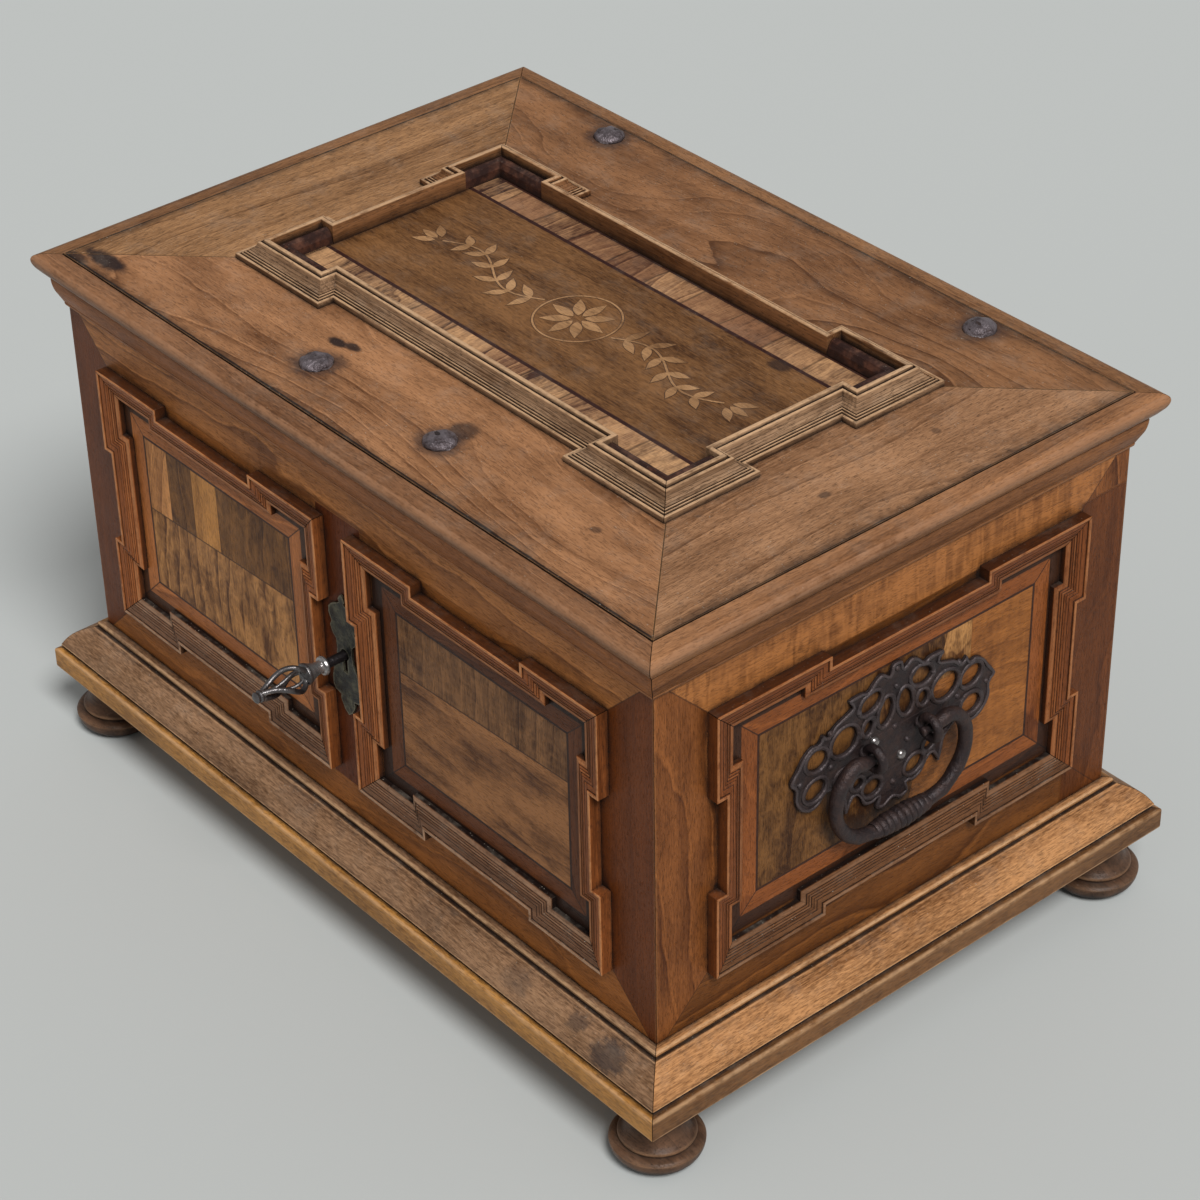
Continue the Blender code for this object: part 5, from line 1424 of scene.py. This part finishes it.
# %% Eyes and bails
handle_y, handle_z, eye_reach, eye_apart = -0.0060, 0.1120, 0.0100, 0.0190
ring_radius, ring_wire, shank_wire, ring_steps = 0.0056, 0.0025, 0.0030, 40
neck = [
    (0.0131, 0.0, 0.0016), (0.0135, 0.0, 0.0022), (0.0145, 0.0, 0.0025), (0.0165, 0.0, 0.0023),
    (0.0190, 0.0, 0.0022), (0.0222, 0.0002, 0.0029),
]
arm_shares = (
    (0.61, 0.025), (0.70, 0.045), (0.80, 0.01), (0.89, -0.07), (0.97, -0.20), (1.0, -0.37), (0.985, -0.54),
    (0.92, -0.70), (0.81, -0.84), (0.66, -0.95),
)
bail_half, bail_drop, arm_radius = 0.0448, 0.0455, 0.0038
grip_half, rib_count, rib_steps = 0.0190, 10, 7
arm = smooth_line(neck + [(a * bail_half, b * bail_drop, arm_radius) for a, b in arm_shares], 5)
grip = []
for i in range(rib_count * rib_steps + 1):
    share = i / (rib_count * rib_steps)
    rib = abs(math.sin(math.pi * share * rib_count)) ** 0.55
    uneven = lumps.noise(Vector((int(share * rib_count) * 1.7, 0.3, 0.0)))
    swell = math.sin(math.pi * share) ** 0.6
    radius = 0.0038 + 0.0013 * swell + (0.0009 + 0.0003 * uneven) * rib * (0.4 + 0.6 * swell)
    grip.append(Vector((grip_half * (1 - 2 * share), -bail_drop, radius)))
bail_line = arm + grip + [Vector((-spot.x, spot.y, spot.z)) for spot in reversed(arm)]
for name, sign in (("right", 1), ("left", -1)):
    stand = on_side(sign)
    out = half_x + eye_reach
    tool = bmesh.new()
    spots = [world(sign * out, handle_y + spot.x, handle_z + spot.y) for spot in bail_line]
    bar(tool, spots, [spot.z for spot in bail_line], 20, Vector((1, 0, 0)))
    hammered(tool, 0.0050, 0.0003)
    hand_over(as_piece("forged_bail_" + name, tool, 60), iron, "bail_" + name, "iron", "bail_" + name)
    for end, way in (("front", -1), ("back", 1)):
        tool = bmesh.new()
        middle = world(sign * out, handle_y + way * eye_apart, handle_z)
        spots = [
            middle + Vector((math.cos(turn), 0, math.sin(turn))) * ring_radius
            for turn in (math.tau * i / ring_steps for i in range(ring_steps))
        ]
        bar(tool, spots, [ring_wire] * ring_steps, 16, Vector((0, 1, 0)), closed=True)
        reaches = (ring_radius - 0.0005, ring_radius + 0.0015, eye_reach + 0.0020)
        shank = [middle - Vector((sign, 0, 0)) * reach for reach in reaches]
        bar(tool, shank, [ring_wire, shank_wire, shank_wire], 16)
        hammered(tool, 0.0040, 0.0003)
        eye = as_piece(f"forged_eye_{name}_{end}", tool, 60)
        hand_over(eye, iron, "carcass", "iron", f"bail_eye_{name}_{end}")

print("bail line:", len(bail_line), "points")

# %% [markdown]
# ## The key
#
# A round shank carries a turned collar, and the bow is an open cage: three thick bars twisted one way over
# two thin ones twisted the other, closed by a small knob. The bit is inside the lock, out of sight.

# %% Key
keyhole_z = 0.1055
key_place = Matrix.Translation(world(0, -half_y, keyhole_z)) @ Matrix.Rotation(math.radians(90), 4, "X")
shank_profile = [
    (0.0, -0.0330), (0.0027, -0.0330), (0.0027, 0.0135), (0.0036, 0.0137), (0.0050, 0.0144),
    (0.0054, 0.0154), (0.0050, 0.0164), (0.0037, 0.0170), (0.0034, 0.0182), (0.0036, 0.0200),
    (0.0042, 0.0222), (0.0051, 0.0243), (0.0059, 0.0257), (0.0061, 0.0265), (0.0058, 0.0273),
    (0.0044, 0.0279), (0.0, 0.0281),
]
knob_profile = [
    (0.0, 0.0522), (0.0020, 0.0526), (0.0023, 0.0533), (0.0031, 0.0541), (0.0034, 0.0550), (0.0031, 0.0558),
    (0.0025, 0.0562), (0.0030, 0.0567), (0.0031, 0.0575), (0.0024, 0.0583), (0.0012, 0.0587), (0.0, 0.0588),
]
bow_shares = (
    (0.0, 0.42), (0.08, 0.70), (0.20, 0.94), (0.32, 1.0), (0.48, 0.90), (0.66, 0.66), (0.84, 0.42),
    (1.0, 0.24),
)
bow_start, bow_end, bow_radius = 0.0272, 0.0540, 0.0076
tool = bmesh.new()
turned(tool, shank_profile, 40, key_place)
turned(tool, knob_profile, 28, key_place)
for count, twist, bar_radius, fullness in ((3, 120, 0.00150, 1.0), (2, -60, 0.00100, 0.80)):
    for number in range(count):
        spots = []
        for share, wide in smooth_line(bow_shares, 5):
            turn = math.tau * (number + 0.5) / count + math.radians(twist) * share
            radius = wide * fullness * bow_radius
            height = bow_start + (bow_end - bow_start) * share
            spots.append(key_place @ Vector((radius * math.cos(turn), radius * math.sin(turn), height)))
        bar(tool, spots, [bar_radius] * len(spots), 10)
bit_place, bit_size = (0, -0.0050, -0.02555), (0.0026, 0.0100, 0.0115, 1)
bit_matrix = key_place @ Matrix.Translation(bit_place) @ Matrix.Diagonal(bit_size)
bmesh.ops.create_cube(tool, size=1.0, matrix=bit_matrix)
hand_over(as_piece("forged_key", tool, 40), steel, "key", "steel", "key")

# %% [markdown]
# ## The inlay of the panel
#
# The middle of the panel carries a plain ornament in paler wood: a rosette between two leafy sprigs. Each
# leaf was sawn out and let into the veneer, with a dark hairline of glue round it.

# %% Leaves, ribbons and the ornament
inlay_height = lid_top + 0.0006
leaf_steps = 10


def leaf(middle, degrees, length, width):
    """The outline of a pointed leaf that starts at a point and runs off at an angle."""
    turn = math.radians(degrees)
    along, across = Vector((math.cos(turn), math.sin(turn))), Vector((-math.sin(turn), math.cos(turn)))
    upper = []
    for i in range(leaf_steps + 1):
        share = i / leaf_steps
        upper.append((share, math.sin(math.pi * share ** 0.8) ** 1.15))
    outline = upper + [(share, -swell) for share, swell in reversed(upper[1:-1])]
    return [Vector(middle) + along * length * share + across * width / 2 * swell for share, swell in outline]


def ribbon(points, width):
    """A thin strip along a line."""
    left_edge, right_edge = [], []
    for i, point in enumerate(points):
        along = (points[min(i + 1, len(points) - 1)] - points[max(i - 1, 0)]).normalized()
        aside = Vector((-along.y, along.x)) * width / 2
        left_edge.append(point + aside)
        right_edge.append(point - aside)
    return left_edge + right_edge[::-1]


def ornament(grow):
    """The outlines of the rosette and the sprigs, each larger all round by grow."""
    shapes = []
    for i in range(8):
        turn = 45 * i
        inner = Vector((math.cos(math.radians(turn)), math.sin(math.radians(turn)))) * (0.0032 - grow)
        shapes.append(leaf(inner, turn, 0.0170 + grow * 2, 0.0066 + grow * 2))
    turns = [math.tau * i / 64 for i in range(65)]
    ring_spots = [Vector((math.cos(turn), math.sin(turn))) * 0.0235 for turn in turns]
    shapes.append(ribbon(ring_spots, 0.0011 + grow * 2))
    for way in (-1, 1):
        stem = []
        for i in range(41):
            share = i / 40
            stem.append(Vector((way * (0.0265 + 0.086 * share), way * 0.0085 * math.sin(math.tau * share))))
        shapes.append(ribbon(stem, 0.0012 + grow * 2))
        for number, place_on_stem in enumerate((3, 9, 15, 21, 27, 33)):
            for side in (-1, 1):
                rise = stem[place_on_stem + 1] - stem[place_on_stem]
                heading = math.degrees(math.atan2(rise.y, rise.x)) + side * 52
                size = 0.0150 - 0.0006 * number
                shapes.append(leaf(stem[place_on_stem], heading, size + grow * 2, 0.0052 + grow * 2))
        heading = 0 if way > 0 else 180
        for lean in (-34, 0, 34):
            turn = math.radians(heading + lean)
            start = stem[-1] + Vector((math.cos(turn), math.sin(turn))) * (0.0042 - grow)
            shapes.append(leaf(start, heading + lean, 0.0135 + grow * 2, 0.0052 + grow * 2))
    return shapes

# %% Let the ornament in


def laid_in(name, shapes, rise, material):
    """Lets flat shapes into the panel. A ribbon is filled strip by strip, a leaf with one face."""
    tool = bmesh.new()
    for number, shape in enumerate(shapes):
        top = inlay_height + rise + 0.0000015 * number
        low = [tool.verts.new(world(spot.x, spot.y, inlay_height - 0.0002)) for spot in shape]
        high = [tool.verts.new(world(spot.x, spot.y, top)) for spot in shape]
        count = len(shape)
        if count > 4 * leaf_steps:
            half = count // 2
            for i in range(half - 1):
                tool.faces.new((high[i], high[i + 1], high[count - 2 - i], high[count - 1 - i]))
                tool.faces.new((low[i], low[i + 1], low[count - 2 - i], low[count - 1 - i]))
        else:
            tool.faces.new(high)
            tool.faces.new(low)
        for i in range(count):
            j = (i + 1) % count
            tool.faces.new((low[i], low[j], high[j], high[i]))
    hand_over(as_piece(name, tool, 30), material, "lid", "walnut_lid")


inlay_finish = dict(wear=0.0, grime=0.8, grime_reach=0.004, dust=0.3, roughness=0.5)
inlay_figure = dict(Ring=0.008, Waves=2.0, Lines=0.3, Streaks=0.8, Pores=0.4, Mottle=0.9, Patch=2.0)
laid_in("inlay_outline", ornament(0.0004), 0.00004, plain_walnut(
    "inlay_glue", "x", srgb(96, 66, 46), srgb(58, 40, 30), 9.0, inlay_figure, **inlay_finish,
))
laid_in("inlay_ornament", ornament(0.0), 0.00010, plain_walnut(
    "inlay_wood", "x", *tones(154, 117, 82, top_lamp), 9.5, inlay_figure, **inlay_finish,
))

print("inlaid shapes:", len(ornament(0.0)))

# %% [markdown]
# ## Floor and light
#
# A pale grey floor and a broad soft lamp from above right, with an even sky, show colours about as they
# are written. The right side gets more of the lamp than the front, as in the photograph.

# %% Floor
floor_size = 8.0
tool = bmesh.new()
bmesh.ops.create_grid(tool, x_segments=1, y_segments=1, size=floor_size / 2)
floor_mesh = bpy.data.meshes.new("floor")
tool.to_mesh(floor_mesh)
tool.free()
floor = bpy.data.objects.new("floor", floor_mesh)
floor.location = (0, 0, -0.0005)
bpy.context.scene.collection.objects.link(floor)
floor_material = bpy.data.materials.new("floor")
floor_material.use_nodes = True
floor_tree = floor_material.node_tree
speckle = noise(floor_tree, node(floor_tree, "TexCoord").outputs["Object"], 300.0, 2.0)
speckle = times(floor_tree, speckle, 0.02)
floor_colour = mixed(floor_tree, speckle, srgb(189, 192, 190), srgb(170, 172, 171))
floor_shader = floor_tree.nodes["Principled BSDF"]
feed(floor_tree, floor_shader.inputs["Base Color"], floor_colour)
floor_shader.inputs["Roughness"].default_value = 0.9
floor_shader.inputs["Specular IOR Level"].default_value = 0.1
floor_mesh.materials.append(floor_material)

print("floor", floor_size, "across")

# %% Lamp and sky
lamp_data = bpy.data.lights.new("lamp", "SUN")
lamp_energy, lamp_width, sky_strength = 2.75, 22, 0.33
lamp_data.energy = lamp_energy
lamp_data.angle = math.radians(lamp_width)
lamp = bpy.data.objects.new("lamp", lamp_data)
lamp_direction = Vector((0.58, -0.20, 0.80))
lamp.rotation_mode = "QUATERNION"
lamp.rotation_quaternion = lamp_direction.to_track_quat("Z", "Y")
bpy.context.scene.collection.objects.link(lamp)
sky = bpy.data.worlds.new("sky")
bpy.context.scene.world = sky
sky.use_nodes = True
sky.node_tree.nodes["Background"].inputs["Color"].default_value = (1, 1, 1, 1)
sky.node_tree.nodes["Background"].inputs["Strength"].default_value = sky_strength
bpy.context.scene.view_settings.view_transform = "Standard"

print("lamp", lamp_energy, "sky", sky_strength)
